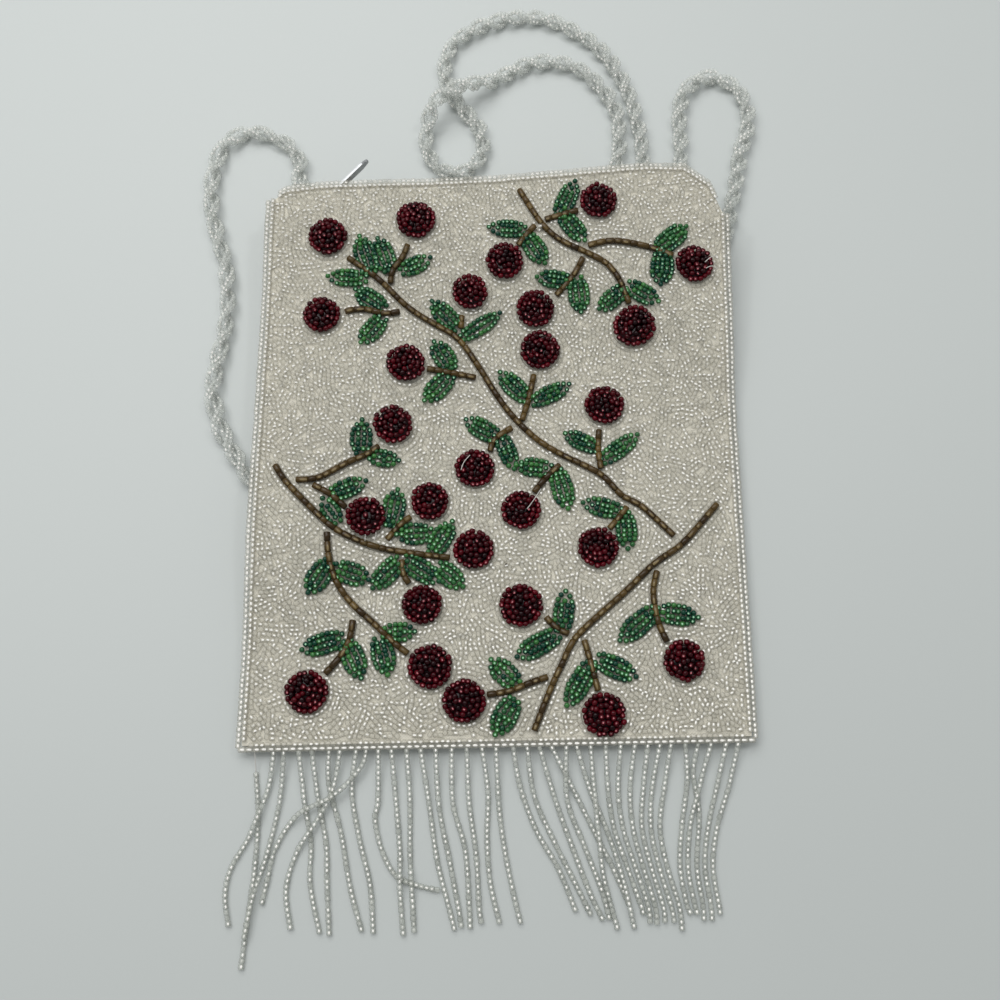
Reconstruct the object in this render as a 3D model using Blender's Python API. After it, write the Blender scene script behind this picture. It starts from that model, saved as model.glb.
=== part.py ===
"""Beaded crossbody bag, lying on its back as it would be laid down on a table.

Metres, +Z up. The beaded front faces up, +Y points to the zipped mouth and +X to the right as the
front is seen. The origin is on the flat part of the back, at the middle of the bag.
The berries, leaves, twigs, fringe and strap are laid out on a chart: a picture of the bag seen from
a little below its middle, 1000 units wide, x to the right and y down. on_chart() takes a chart
point back to the bag.
"""
import bisect
import math

import bmesh
import bpy
from mathutils import Matrix, Vector

# Clearance between neighbouring pieces
GAP = 0.0003

# How the chart sees the bag
CHART_MIDDLE = 500.0
CHART_FOCAL = 1083.0
CHART_TILT = math.radians(17.0)
CHART_DISTANCE = 0.361
CHART_ORIGIN = (-0.0004, 0.0186)

# The bag's outline
LEFT_EDGE = -0.0793
RIGHT_EDGE = 0.0783
BOTTOM_LEFT = -0.0990
BOTTOM_RIGHT = -0.0960
TOP_STATIONS = (-0.0793, -0.0745, -0.0620, -0.0420, -0.0220, -0.0020, 0.0180,
                0.0360, 0.0520, 0.0650, 0.0735, 0.0783)
TOP_EDGE = (0.0890, 0.0935, 0.0952, 0.0960, 0.0965, 0.0976, 0.0996,
            0.1014, 0.1028, 0.1026, 0.0960, 0.0840)
ROW_COUNT = 12

# Layers from the back to the front, and the room between the panels
BACK_THICK = 0.0012
FRONT_THICK = 0.0014
LINING_THICK = 0.0004
EDGE_ROOM = 0.0018
BODY_ROOM = 0.0030
MOUTH_ROOM = 0.0061
MOUTH_DEPTH = 0.0150
MOUTH_FADE = 0.0300
SEAM_FADE = 0.0140

# The strap, and how the bag drapes over the part of it that lies underneath
STRAP_DIAMETER = 0.0055
STRAP_STEP = 0.0135
DRAPE_FLAT = 0.0180
DRAPE_FADE = 0.0420

# Beads of the edges and the fringe
EDGE_BEAD = 0.0019
STRAND_DIAMETER = 0.0017
STRAND_RINGS = 6
STRAND_SIDES = 4
THREAD_DIAMETER = 0.0005

# Zip
ZIP_MIDDLE_Y = 0.0940
ZIP_SLOPE = math.radians(3.2)
ZIP_HALF = 0.0630
TOOTH_LONG = 0.0021
TOOTH_PITCH = 0.0042
TOOTH_IN = 0.0006
TOOTH_WIDE = 0.0008
TOOTH_THICK = 0.0012
TAPE_THICK = 0.0003
TAPE_DEEP = 0.0085
SLIDER_LONG = 0.0084
SLIDER_WALL = 0.0008
SLIDER_FLANGE = 0.00045
SLIDER_SLOT = 0.0009
SLIDER_REST = -0.0570
STOP_LONG = 0.0020
BRIDGE_WIDE = 0.0010
BRIDGE_FOOT = 0.0007
BRIDGE_SPAN = 0.0040
BRIDGE_OPEN = 0.0013
PULL_LONG = 0.0155
PULL_WIDE = 0.0030
PULL_THICK = 0.0008
PULL_EYE = 0.0034
PULL_PIN = 0.0007
PIN_SIDES = 12
PULL_REST = math.radians(46.0)

# Relief of the beaded motif
BERRY_HIGH = 0.0032
BERRY_LOBES = 10
LEAF_HIGH = 0.0019
LEAF_STEP = 0.0001
STEM_STEP = 0.00002
TWIG_WIDE = 0.0021
TWIG_HIGH = 0.0015

# Berries on the chart: middle and radius
BERRIES = (
    (328, 238, 19), (416, 221, 19.5), (322, 316, 18.5), (470, 293, 17.5), (406, 364, 19),
    (393, 425, 19.5), (366, 517, 19.5), (430, 502, 19), (474, 550, 20), (422, 605, 20),
    (430, 667, 22), (464, 701, 21.5), (307, 692, 21.5), (598, 202, 18.5), (505, 262, 18.5),
    (694, 265, 18.5), (535, 310, 18.5), (540, 351, 19.5), (634, 327, 21), (604, 406, 19.5),
    (475, 469, 19.5), (521, 511, 19.5), (598, 548, 20.5), (521, 606, 21.5), (684, 661, 20.5),
    (604, 715, 22),
)

# Leaves on the chart, by twig: tip, foot and width
LEAVES = {
    "upper": (
        (360, 237, 371, 273, 19), (378, 239, 389, 271, 19), (430, 258, 402, 272, 16),
        (328, 277, 366, 279, 16), (356, 290, 384, 309, 18), (361, 343, 383, 318, 18),
        (432, 302, 458, 329, 18), (500, 314, 462, 338, 14), (434, 342, 452, 369, 19),
        (425, 401, 451, 375, 18), (500, 373, 528, 400, 18), (569, 385, 532, 403, 16),
        (466, 420, 498, 438, 18), (514, 469, 501, 436, 16), (516, 466, 551, 469, 17),
        (568, 509, 557, 470, 19), (565, 434, 597, 449, 16), (637, 435, 603, 461, 16),
        (583, 503, 621, 512, 17), (628, 549, 625, 513, 18),
    ),
    "top_right": (
        (575, 182, 559, 216, 17), (585, 241, 562, 215, 17), (489, 228, 525, 230, 16),
        (545, 264, 526, 235, 18), (686, 227, 657, 250, 19), (661, 285, 663, 252, 20),
        (537, 277, 571, 282, 16), (581, 313, 577, 278, 18), (599, 310, 625, 288, 17),
        (658, 302, 628, 285, 17),
    ),
    "left": (
        (362, 420, 361, 454, 19), (399, 461, 370, 456, 16), (366, 481, 329, 496, 17),
        (323, 499, 338, 522, 16), (398, 490, 390, 526, 20), (397, 535, 431, 533, 19),
        (452, 522, 432, 554, 19), (308, 593, 329, 562, 20), (369, 580, 335, 568, 20),
        (373, 588, 400, 560, 19), (439, 582, 404, 559, 19), (463, 587, 438, 566, 19),
        (302, 650, 343, 638, 19), (361, 678, 347, 642, 20), (388, 675, 379, 638, 20),
        (415, 632, 385, 632, 17),
    ),
    "lower_right": (
        (566, 591, 562, 631, 18), (517, 657, 558, 634, 19), (620, 641, 655, 610, 19),
        (698, 618, 658, 612, 19), (567, 706, 591, 664, 19), (636, 677, 597, 659, 19),
        (491, 660, 517, 685, 20), (495, 735, 514, 700, 21),
    ),
}

# Twigs on the chart, each stem as its own row of beads
TWIGS = {
    "upper": (
        ((348, 258), (378, 279), (406, 306), (430, 322), (457, 338), (478, 366), (497, 396),
         (514, 418), (536, 439), (560, 454), (600, 474), (622, 496), (640, 505), (674, 536)),
        ((391, 284), (392, 271), (402, 259), (408, 245)),
        ((345, 312), (362, 309), (384, 314), (400, 312)),
        ((461, 329), (462, 316)),
        ((427, 369), (450, 373), (476, 378)),
        ((522, 421), (529, 398), (534, 375)),
        ((512, 428), (494, 440), (490, 452)),
        ((560, 465), (544, 480), (534, 493)),
        ((601, 469), (598, 450), (599, 430)),
        ((627, 507), (617, 520), (609, 529)),
    ),
    "top_right": (
        ((519, 190), (541, 223), (560, 240), (585, 252), (607, 264), (620, 281), (629, 304)),
        ((535, 226), (524, 238), (518, 246)),
        ((545, 220), (562, 215), (578, 211)),
        ((588, 246), (610, 241), (635, 244), (655, 249), (673, 256)),
        ((583, 258), (574, 275), (556, 296)),
    ),
    "left": (
        ((275, 465), (287, 483), (325, 521), (350, 537), (380, 548), (410, 553), (450, 558)),
        ((296, 480), (318, 478), (345, 464), (368, 454), (379, 446)),
        ((313, 485), (330, 494), (346, 508)),
        ((327, 532), (329, 558), (337, 583), (352, 604), (372, 622), (393, 642), (408, 654)),
        ((353, 620), (349, 642), (338, 660), (325, 674)),
        ((387, 540), (400, 525), (411, 517)),
        ((402, 560), (403, 574), (409, 584)),
    ),
    "lower_right": (
        ((717, 504), (682, 544), (655, 563), (625, 592), (577, 636), (563, 662), (550, 690),
         (534, 731)),
        ((657, 571), (653, 592), (658, 622), (667, 642)),
        ((584, 640), (591, 664), (598, 691)),
        ((548, 677), (530, 683), (510, 691), (487, 695)),
        ((569, 634), (556, 628), (546, 617)),
    ),
}

# Fringe on the chart, strand by strand from the left
FRINGE = (
    ((256, 753), (256, 773), (258, 815), (255, 865), (248, 915), (241, 967)),
    ((275, 753), (268, 790), (250, 835), (231, 868), (225, 895), (228, 924)),
    ((285, 753), (280, 800), (268, 850), (254, 895), (245, 936)),
    ((300, 752), (305, 805), (311, 843), (310, 883), (319, 931)),
    ((313, 752), (318, 797), (326, 843), (327, 883), (329, 933)),
    ((330, 752), (329, 784), (341, 833), (350, 887), (361, 929)),
    ((341, 751), (332, 793), (315, 824), (297, 852), (286, 889), (290, 927)),
    ((357, 751), (352, 791), (359, 837), (370, 885), (373, 931)),
    ((367, 750), (361, 768), (334, 796), (298, 815), (276, 847), (267, 881), (262, 902)),
    ((379, 750), (378, 801), (375, 818), (381, 848), (395, 875), (416, 885), (437, 890)),
    ((392, 750), (396, 801), (400, 854), (400, 890), (403, 933)),
    ((407, 750), (410, 801), (410, 852), (412, 892), (414, 930)),
    ((421, 749), (429, 803), (437, 860), (448, 904), (454, 928)),
    ((436, 749), (439, 806), (449, 858), (458, 906), (461, 925)),
    ((452, 749), (453, 803), (465, 849), (469, 902), (470, 926)),
    ((467, 749), (469, 801), (476, 854), (479, 906), (481, 921)),
    ((482, 748), (488, 793), (487, 837), (490, 881), (499, 921)),
    ((496, 748), (499, 806), (505, 852), (514, 896), (520, 921)),
    ((513, 748), (520, 786), (536, 830), (558, 868), (575, 909)),
    ((527, 748), (534, 795), (552, 837), (573, 879), (590, 913)),
    ((539, 748), (555, 799), (573, 849), (590, 893), (602, 918)),
    ((551, 748), (573, 789), (594, 831), (613, 868), (628, 902)),
    ((566, 748), (567, 799), (584, 845), (602, 891), (609, 917)),
    ((576, 748), (590, 790), (606, 828), (619, 866), (629, 905), (634, 926)),
    ((590, 747), (594, 790), (599, 840), (604, 878), (617, 927)),
    ((605, 747), (608, 790), (614, 828), (627, 866), (641, 905), (643, 912)),
    ((620, 747), (618, 790), (623, 828), (635, 866), (648, 905), (650, 921)),
    ((634, 747), (630, 788), (633, 828), (643, 866), (655, 905), (657, 922)),
    ((647, 746), (643, 790), (642, 828), (651, 866), (663, 905), (665, 920)),
    ((659, 746), (652, 788), (651, 828), (659, 866), (671, 905), (674, 920)),
    ((670, 746), (664, 788), (660, 828), (667, 866), (679, 905), (682, 928)),
    ((684, 746), (687, 780), (682, 825), (680, 866), (687, 905), (690, 912)),
    ((697, 745), (693, 772), (699, 812), (697, 866), (703, 905), (704, 918)),
    ((710, 745), (702, 775), (691, 820), (688, 866), (695, 905), (697, 912)),
    ((725, 745), (717, 785), (708, 828), (705, 866), (711, 905), (712, 918)),
    ((737, 744), (729, 785), (717, 828), (713, 866), (719, 905), (720, 912)),
)
FRINGE_GROUP = 4

# The strand that has slid down its bare thread, and the beads between thread and edge that it lost
SLID_STRAND = 0

# The strap on the chart, from the left corner round to the right one
STRAP_LEFT = ((299, 179), (300, 163), (291, 148), (276, 137), (255, 132), (236, 136), (222, 149),
              (214, 169), (211, 192), (214, 217), (219, 240), (225, 262), (227, 285), (227, 310),
              (223, 335), (217, 362), (213, 389), (216, 412), (224, 436), (238, 459), (258, 474))
STRAP_MIDDLE = ((618, 159), (619, 134), (616, 112), (607, 94), (594, 80), (576, 67), (556, 62),
                (537, 62), (519, 67), (502, 76), (486, 86), (468, 94), (451, 101), (436, 112),
                (427, 130), (428, 150), (438, 167), (454, 173), (470, 169), (480, 156), (483, 140),
                (478, 126), (466, 112), (454, 98), (446, 82), (445, 65), (451, 48), (464, 35),
                (483, 25), (505, 19), (528, 17), (550, 20), (569, 28), (588, 39), (604, 54),
                (618, 72), (629, 94), (638, 125), (643, 157))
STRAP_RIGHT = ((724, 236), (733, 200), (737, 175), (741, 150), (748, 128), (746, 104), (732, 85),
               (714, 77), (698, 79), (685, 92), (680, 110), (680, 135), (681, 157))

# Where the strap's ends are sewn to the back
ROOT_LEFT = (-0.0650, 0.0880)
ROOT_RIGHT = (0.0605, 0.0925)

# The stretches of the strap under the bag, from where it goes in to where it comes out
UNDER_LEFT = ((-0.0660, 0.0220), (-0.0560, 0.0480), (-0.0360, 0.0700), (-0.0080, 0.0840),
              (0.0200, 0.0890), (0.0380, 0.0960))
UNDER_RIGHT = ((0.0530, 0.0920), (0.0550, 0.0790), (0.0630, 0.0710), (0.0720, 0.0700))

# Colours, roughness and metallic value of each finish
FINISHES = {
    "clear_beads": ((0.60, 0.58, 0.53), 0.25, 0.0),
    "berry_beads": ((0.16, 0.008, 0.02), 0.12, 0.0),
    "leaf_beads": ((0.01, 0.16, 0.07), 0.15, 0.3),
    "twig_beads": ((0.10, 0.065, 0.025), 0.2, 0.4),
    "back_cloth": ((0.66, 0.63, 0.57), 0.6, 0.0),
    "lining_cloth": ((0.72, 0.70, 0.65), 0.7, 0.0),
    "zip_tape": ((0.62, 0.60, 0.56), 0.8, 0.0),
    "zip_metal": ((0.55, 0.55, 0.56), 0.3, 1.0),
}


def remove_everything():
    """Empties the file."""
    for item in list(bpy.data.objects):
        bpy.data.objects.remove(item, do_unlink=True)


def finish(name):
    """The Principled material of one finish, made once."""
    if name in bpy.data.materials:
        return bpy.data.materials[name]
    colour, rough, metal = FINISHES[name]
    material = bpy.data.materials.new(name)
    material.use_nodes = True
    shader = material.node_tree.nodes["Principled BSDF"]
    shader.inputs["Base Color"].default_value = (*colour, 1.0)
    shader.inputs["Roughness"].default_value = rough
    shader.inputs["Metallic"].default_value = metal
    return material


def place_object(name, data, finish_name):
    """Adds one object with its finish."""
    item = bpy.data.objects.new(name, data)
    bpy.context.collection.objects.link(item)
    data.materials.append(finish(finish_name))
    return item


def place_mesh(name, bm, finish_name, smooth_angle=None):
    """Turns a bmesh into an object, with its faces pointing out."""
    bmesh.ops.recalc_face_normals(bm, faces=bm.faces)
    mesh = bpy.data.meshes.new(name)
    bm.to_mesh(mesh)
    bm.free()
    if smooth_angle:
        mesh.shade_smooth()
        mesh.set_sharp_from_angle(angle=math.radians(smooth_angle))
    return place_object(name, mesh, finish_name)


# Joins and cuts

def keep_result(body):
    """Keeps the result of a body's modifiers in its mesh."""
    bpy.context.view_layer.update()
    shape = body.evaluated_get(bpy.context.evaluated_depsgraph_get())
    mesh = bpy.data.meshes.new_from_object(shape)
    body.modifiers.clear()
    body.data = mesh


def combine(body, others, operation):
    """Joins other objects to a body, or cuts them from it, and removes them."""
    tools = bpy.data.collections.new("tools")
    for other in others:
        tools.objects.link(other)
    modifier = body.modifiers.new("boolean", "BOOLEAN")
    modifier.operation = operation
    modifier.operand_type = "COLLECTION"
    modifier.collection = tools
    modifier.solver = "EXACT"
    keep_result(body)
    for other in others:
        bpy.data.objects.remove(other, do_unlink=True)
    bpy.data.collections.remove(tools)


# Curves through chosen points

def spline_point(points, index, share):
    """A point of the smooth curve through the points, share of the way after point index."""
    before = points[max(index - 1, 0)]
    start = points[index]
    end = points[index + 1]
    after = points[min(index + 2, len(points) - 1)]
    pull_out = (end - before) / 2
    pull_in = (after - start) / 2
    square = share * share
    cube = square * share
    return (start * (2 * cube - 3 * square + 1) + pull_out * (cube - 2 * square + share)
            + end * (3 * square - 2 * cube) + pull_in * (cube - square))


def spread(points, count):
    """Points at even distances along a row of points, ends included."""
    reach = [0.0]
    for start, end in zip(points, points[1:]):
        reach.append(reach[-1] + (end - start).length)
    spaced = []
    for number in range(count):
        wanted = reach[-1] * number / (count - 1)
        index = min(bisect.bisect_right(reach, wanted), len(points) - 1)
        share = (wanted - reach[index - 1]) / (reach[index] - reach[index - 1])
        spaced.append(points[index - 1].lerp(points[index], share))
    return spaced


def smooth_row(points, count, fine=12):
    """Evenly spaced points on the smooth curve through the points."""
    dense = [spline_point(points, index, step / fine)
             for index in range(len(points) - 1) for step in range(fine)]
    return spread([*dense, points[-1]], count)


def row_length(points):
    """The length of a row of points."""
    return sum((end - start).length for start, end in zip(points, points[1:]))


def ease(share):
    """Rises smoothly from 0 to 1."""
    share = min(max(share, 0.0), 1.0)
    return 0.5 - 0.5 * math.cos(math.pi * share)


# The chart

def on_chart(x, y, height):
    """The point of the bag that the chart shows at x, y, at a height above the table."""
    ahead = Vector((0, math.sin(CHART_TILT), -math.cos(CHART_TILT)))
    upward = Vector((0, math.cos(CHART_TILT), math.sin(CHART_TILT)))
    sight = ahead + upward * ((CHART_MIDDLE - y) / CHART_FOCAL)
    sight.x += (x - CHART_MIDDLE) / CHART_FOCAL
    eye = ahead * -CHART_DISTANCE
    spot = eye + sight * ((height - eye.z) / sight.z)
    return Vector((spot.x - CHART_ORIGIN[0], spot.y - CHART_ORIGIN[1], height))


def on_table(points, height):
    """Chart points on a level at a height above the table."""
    return [on_chart(x, y, height) for x, y in points]


# The shape of the panels

def zip_line():
    """The two ends of the zip, seen from above."""
    run = ZIP_HALF * math.cos(ZIP_SLOPE)
    rise = ZIP_HALF * math.sin(ZIP_SLOPE)
    return [Vector((-run, ZIP_MIDDLE_Y - rise, 0)), Vector((run, ZIP_MIDDLE_Y + rise, 0))]


def strap_route():
    """The middle line of the strap, from corner to corner."""
    level = STRAP_DIAMETER / 2
    sewn = level + 2 * GAP
    left = [Vector((*ROOT_LEFT, sewn)), *on_table(STRAP_LEFT, level)]
    under_left = [Vector((x, y, level)) for x, y in UNDER_LEFT]
    middle = on_table(STRAP_MIDDLE, level)
    crossing = on_chart(451, 100, level)
    for number, point in enumerate(middle):
        near = 1.0 - (point - crossing).length / (STRAP_DIAMETER * 3.4)
        if number < len(middle) // 2:
            point.z += (STRAP_DIAMETER + 2 * GAP) * ease(near * 1.6)
    under_right = [Vector((x, y, level)) for x, y in UNDER_RIGHT]
    right = [*on_table(STRAP_RIGHT, level), Vector((*ROOT_RIGHT, sewn))]
    return [*left, *under_left, *middle, *under_right, *right]


def near_row(x, y, row):
    """The distance from x, y to a row of points, seen from above."""
    spot = Vector((x, y))
    best = math.inf
    for start, end in zip(row, row[1:]):
        start = start.xy
        step = end.xy - start
        share = min(max((spot - start).dot(step) / step.length_squared, 0.0), 1.0)
        best = min(best, (start + step * share - spot).length)
    return best


def lift(x, y):
    """How far the strap underneath and the stiff zip hold the bag off the table."""
    under_left = [Vector((LEFT_EDGE, -0.011, 0)), *[Vector((*p, 0)) for p in UNDER_LEFT]]
    under_right = [*[Vector((*p, 0)) for p in UNDER_RIGHT], Vector((RIGHT_EDGE, 0.0740, 0))]
    near = min(near_row(x, y, row) for row in (under_left, under_right, zip_line()))
    high = STRAP_DIAMETER + 3 * GAP
    return high * (1.0 - ease((near - DRAPE_FLAT) / DRAPE_FADE))


def bottom_edge(x):
    """The y of the bottom edge at x."""
    share = (x - LEFT_EDGE) / (RIGHT_EDGE - LEFT_EDGE)
    return BOTTOM_LEFT + (BOTTOM_RIGHT - BOTTOM_LEFT) * share


def room(x, y, top):
    """The room between the two panels at x, y, where the top edge is at top."""
    sides = min(x - LEFT_EDGE, RIGHT_EDGE - x, y - bottom_edge(x))
    wide = EDGE_ROOM + (BODY_ROOM - EDGE_ROOM) * ease(sides / SEAM_FADE)
    below_zip = zip_height(x) - MOUTH_DEPTH - y
    return wide + (MOUTH_ROOM - wide) * (1.0 - ease(below_zip / MOUTH_FADE))


def zip_height(x):
    """The y of the zip's middle line at x."""
    return ZIP_MIDDLE_Y + x * math.tan(ZIP_SLOPE)


def mouth_level():
    """The height of the zip's middle above the table."""
    return STRAP_DIAMETER + 3 * GAP + BACK_THICK + MOUTH_ROOM / 2


class Layer:
    """The sheet surface shared by the panels: rows and columns of points with a height each."""

    def __init__(self):
        """Sets out the columns, the rows and the two inner surfaces."""
        self.columns = TOP_STATIONS
        self.rows = ROW_COUNT
        self.low = {}
        self.high = {}
        self.spots = {}
        for i, x in enumerate(self.columns):
            for j in range(self.rows):
                bottom = bottom_edge(x)
                y = bottom + (TOP_EDGE[i] - bottom) * j / (self.rows - 1)
                self.spots[i, j] = (x, y)
                self.low[i, j] = lift(x, y) + BACK_THICK
                self.high[i, j] = self.low[i, j] + room(x, y, TOP_EDGE[i])

    def height(self, x, y, level):
        """The height at x, y of a level, which gives each grid point's height."""
        i = min(max(bisect.bisect_right(self.columns, x) - 1, 0), len(self.columns) - 2)
        best = None
        for j in range(self.rows - 1):
            corners = ((i, j), (i + 1, j), (i + 1, j + 1), (i, j + 1))
            for trio in (corners[:3], (corners[0], corners[2], corners[3])):
                shares = share_out(x, y, [self.spots[key] for key in trio])
                value = sum(part * level[key] for part, key in zip(shares, trio))
                outside = -min(shares)
                if best is None or outside < best[0]:
                    best = (outside, value)
        return best[1]

    def front(self, x, y):
        """The height of the front panel's outer face at x, y."""
        return self.height(x, y, self.high) + FRONT_THICK

    def on_front(self, x, y, above=0.0):
        """The point of the front panel's outer face that the chart shows at x, y."""
        spot = on_chart(x, y, mouth_level())
        for _ in range(5):
            spot = on_chart(x, y, self.front(spot.x, spot.y) + above)
        return spot


def share_out(x, y, trio):
    """The weights of a triangle's three corners at x, y."""
    (ax, ay), (bx, by), (cx, cy) = trio
    whole = (bx - ax) * (cy - ay) - (cx - ax) * (by - ay)
    second = ((x - ax) * (cy - ay) - (cx - ax) * (y - ay)) / whole
    third = ((bx - ax) * (y - ay) - (x - ax) * (by - ay)) / whole
    return (1.0 - second - third, second, third)


def sheet(name, layer, level, start, thick, finish_name, columns, rows):
    """One sewn sheet: a closed slab that follows a level, from start above it."""
    bm = bmesh.new()
    faces = {}
    for side in (0, 1):
        for i in columns:
            for j in rows:
                x, y = layer.spots[i, j]
                high = level[i, j] + start + side * thick
                faces[side, i, j] = bm.verts.new((x, y, high))
    for i, right in zip(columns, columns[1:]):
        for j, above in zip(rows, rows[1:]):
            for side in (0, 1):
                a, b = faces[side, i, j], faces[side, right, j]
                c, d = faces[side, right, above], faces[side, i, above]
                bm.faces.new((a, b, c))
                bm.faces.new((a, c, d))
    rim = [(i, rows[0]) for i in columns]
    rim += [(columns[-1], j) for j in rows[1:]]
    rim += [(i, rows[-1]) for i in reversed(columns[:-1])]
    rim += [(columns[0], j) for j in reversed(rows[1:-1])]
    for here, there in zip(rim, rim[1:] + rim[:1]):
        bm.faces.new((faces[0, *here], faces[0, *there], faces[1, *there], faces[1, *here]))
    return place_mesh(name, bm, finish_name, 40)


def build_cloth(layer):
    """The two panels and the lining between them."""
    columns = list(range(len(layer.columns)))
    rows = list(range(layer.rows))
    sheet("back_panel", layer, layer.low, -BACK_THICK, BACK_THICK, "back_cloth", columns, rows)
    sheet("front_panel", layer, layer.high, 0.0, FRONT_THICK, "clear_beads", columns, rows)
    inner_columns = columns[1:-1]
    inner_rows = rows[1:-2]
    sheet("lining_back", layer, layer.low, GAP, LINING_THICK, "lining_cloth",
          inner_columns, inner_rows)
    sheet("lining_front", layer, layer.high, -GAP - LINING_THICK, LINING_THICK, "lining_cloth",
          inner_columns, inner_rows)


# Tubes of beads

def add_tube(bm, points, radius, sides, flat_below=False):
    """Adds a closed tube along points, with one radius or one for each point.

    flat_below makes a half round with a flat underside, and radius is its half width and height.
    """
    rings = []
    for number, point in enumerate(points):
        before = points[max(number - 1, 0)]
        after = points[min(number + 1, len(points) - 1)]
        along = (after - before).normalized()
        across = along.cross(Vector((0, 0, 1))).normalized()
        upward = across.cross(along).normalized()
        if flat_below:
            wide, high = radius
        else:
            wide = high = radius[number] if isinstance(radius, list) else radius
        ring = []
        for side in range(sides):
            angle = math.tau * (side + 0.5) / sides
            if flat_below:
                angle = math.pi * side / (sides - 1)
            offset = across * math.cos(angle) * wide + upward * math.sin(angle) * high
            ring.append(bm.verts.new(point + offset))
        rings.append(ring)
    for ring, following in zip(rings, rings[1:]):
        for side in range(sides):
            other = (side + 1) % sides
            bm.faces.new((ring[side], ring[other], following[other], following[side]))
    bm.faces.new(rings[0])
    bm.faces.new(rings[-1])


def build_edges(layer):
    """The rows of larger beads round the bag: both sides, the bottom and both lips of the mouth."""
    radius = EDGE_BEAD / 2
    out = GAP + radius
    last = layer.rows - 1
    far = len(layer.columns) - 1

    def seam(i, j):
        """The middle of the seam at a grid point of the rim."""
        x, y = layer.spots[i, j]
        return Vector((x, y, (layer.low[i, j] + layer.high[i, j]) / 2))

    rows = {
        "edge_beads_left": [seam(0, j) + Vector((-out, 0, 0)) for j in range(last + 1)],
        "edge_beads_right": [seam(far, j) + Vector((out, 0, 0)) for j in range(last + 1)],
    }
    for name, level, middle in (("edge_beads_mouth_front", layer.high, FRONT_THICK / 2),
                                ("edge_beads_mouth_back", layer.low, -BACK_THICK / 2)):
        lip = []
        for i in range(1, far):
            x, y = layer.spots[i, last]
            slope = (layer.spots[i + 1, last][1] - layer.spots[i - 1, last][1])
            slope /= layer.spots[i + 1, last][0] - layer.spots[i - 1, last][0]
            away = Vector((-slope, 1.0, 0)).normalized() * out * 1.12
            lip.append(Vector((x, y, level[i, last] + middle)) + away)
        rows[name] = lip
    for name, points in rows.items():
        bm = bmesh.new()
        add_tube(bm, points, radius, 6)
        place_mesh(name, bm, "clear_beads", 50)


# Motif

def seat(layer, x, y):
    """A point just off the front panel."""
    return Vector((x, y, layer.front(x, y) + GAP))


def dip(layer, start, end, steps=4):
    """How far a straight line between two seated points comes too close to the panel."""
    worst = 0.0
    for step in range(1, steps):
        point = start.lerp(end, step / steps)
        worst = max(worst, layer.front(point.x, point.y) + GAP / 2 - point.z)
    return worst


def seat_flat(layer, spots):
    """Seats a piece's outline as one, clear of the creases under it."""
    points = [seat(layer, spot.x, spot.y) for spot in spots]
    count = len(points)
    most = max(dip(layer, points[number], points[(number + step) % count])
               for number in range(count) for step in (1, 2, count // 2))
    return [point + Vector((0, 0, most)) for point in points]


def seat_row(layer, spots):
    """Seats a stem's points, each clear of the creases beside it."""
    points = [seat(layer, spot.x, spot.y) for spot in spots]
    raised = [0.0] * len(points)
    for number, (start, end) in enumerate(zip(points, points[1:])):
        needed = dip(layer, start, end)
        raised[number] = max(raised[number], needed)
        raised[number + 1] = max(raised[number + 1], needed)
    return [point + Vector((0, 0, more)) for point, more in zip(points, raised)]


def build_berry(name, layer, x, y, size):
    """A domed cluster of beads with a scalloped outline."""
    middle = layer.on_front(x, y)
    side = layer.on_front(x + size, y)
    radius = (side - middle).length
    bm = bmesh.new()
    rings = []
    for share, high in ((0.93, 0.0), (1.0, 0.42), (0.62, 0.86)):
        lobes = BERRY_LOBES if share > 0.7 else BERRY_LOBES // 2
        spots = []
        for lobe in range(lobes):
            angle = math.tau * lobe / lobes
            reach = radius * share * (1.0 if lobe % 2 else 0.95)
            spots.append(middle + Vector((math.cos(angle), math.sin(angle), 0)) * reach)
        rings.append([bm.verts.new(foot + Vector((0, 0, BERRY_HIGH * high)))
                      for foot in seat_flat(layer, spots)])
    bm.faces.new(rings[0])
    for lobe in range(BERRY_LOBES):
        other = (lobe + 1) % BERRY_LOBES
        bm.faces.new((rings[0][lobe], rings[0][other], rings[1][other], rings[1][lobe]))
    half = BERRY_LOBES // 2
    for lobe in range(half):
        other = (lobe + 1) % half
        first, second, third = (rings[1][(2 * lobe + k) % BERRY_LOBES] for k in range(3))
        bm.faces.new((first, second, rings[2][lobe]))
        bm.faces.new((second, third, rings[2][other], rings[2][lobe]))
    top = bm.verts.new(seat(layer, middle.x, middle.y) + Vector((0, 0, BERRY_HIGH)))
    for lobe in range(half):
        bm.faces.new((rings[2][lobe], rings[2][(lobe + 1) % half], top))
    bmesh.ops.triangulate(bm, faces=bm.faces)
    place_mesh(name, bm, "berry_beads", 60)


def nearest_on(spot, rows):
    """The nearest point to a spot on any of some rows of points, seen from above."""
    best = None
    for row in rows:
        for start, end in zip(row, row[1:]):
            step = (end - start).xy
            share = min(max((spot - start).xy.dot(step) / step.length_squared, 0.0), 1.0)
            point = start.lerp(end, share)
            away = (point - spot).xy.length
            if best is None or away < best[0]:
                best = (away, point)
    return best[1]


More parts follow.
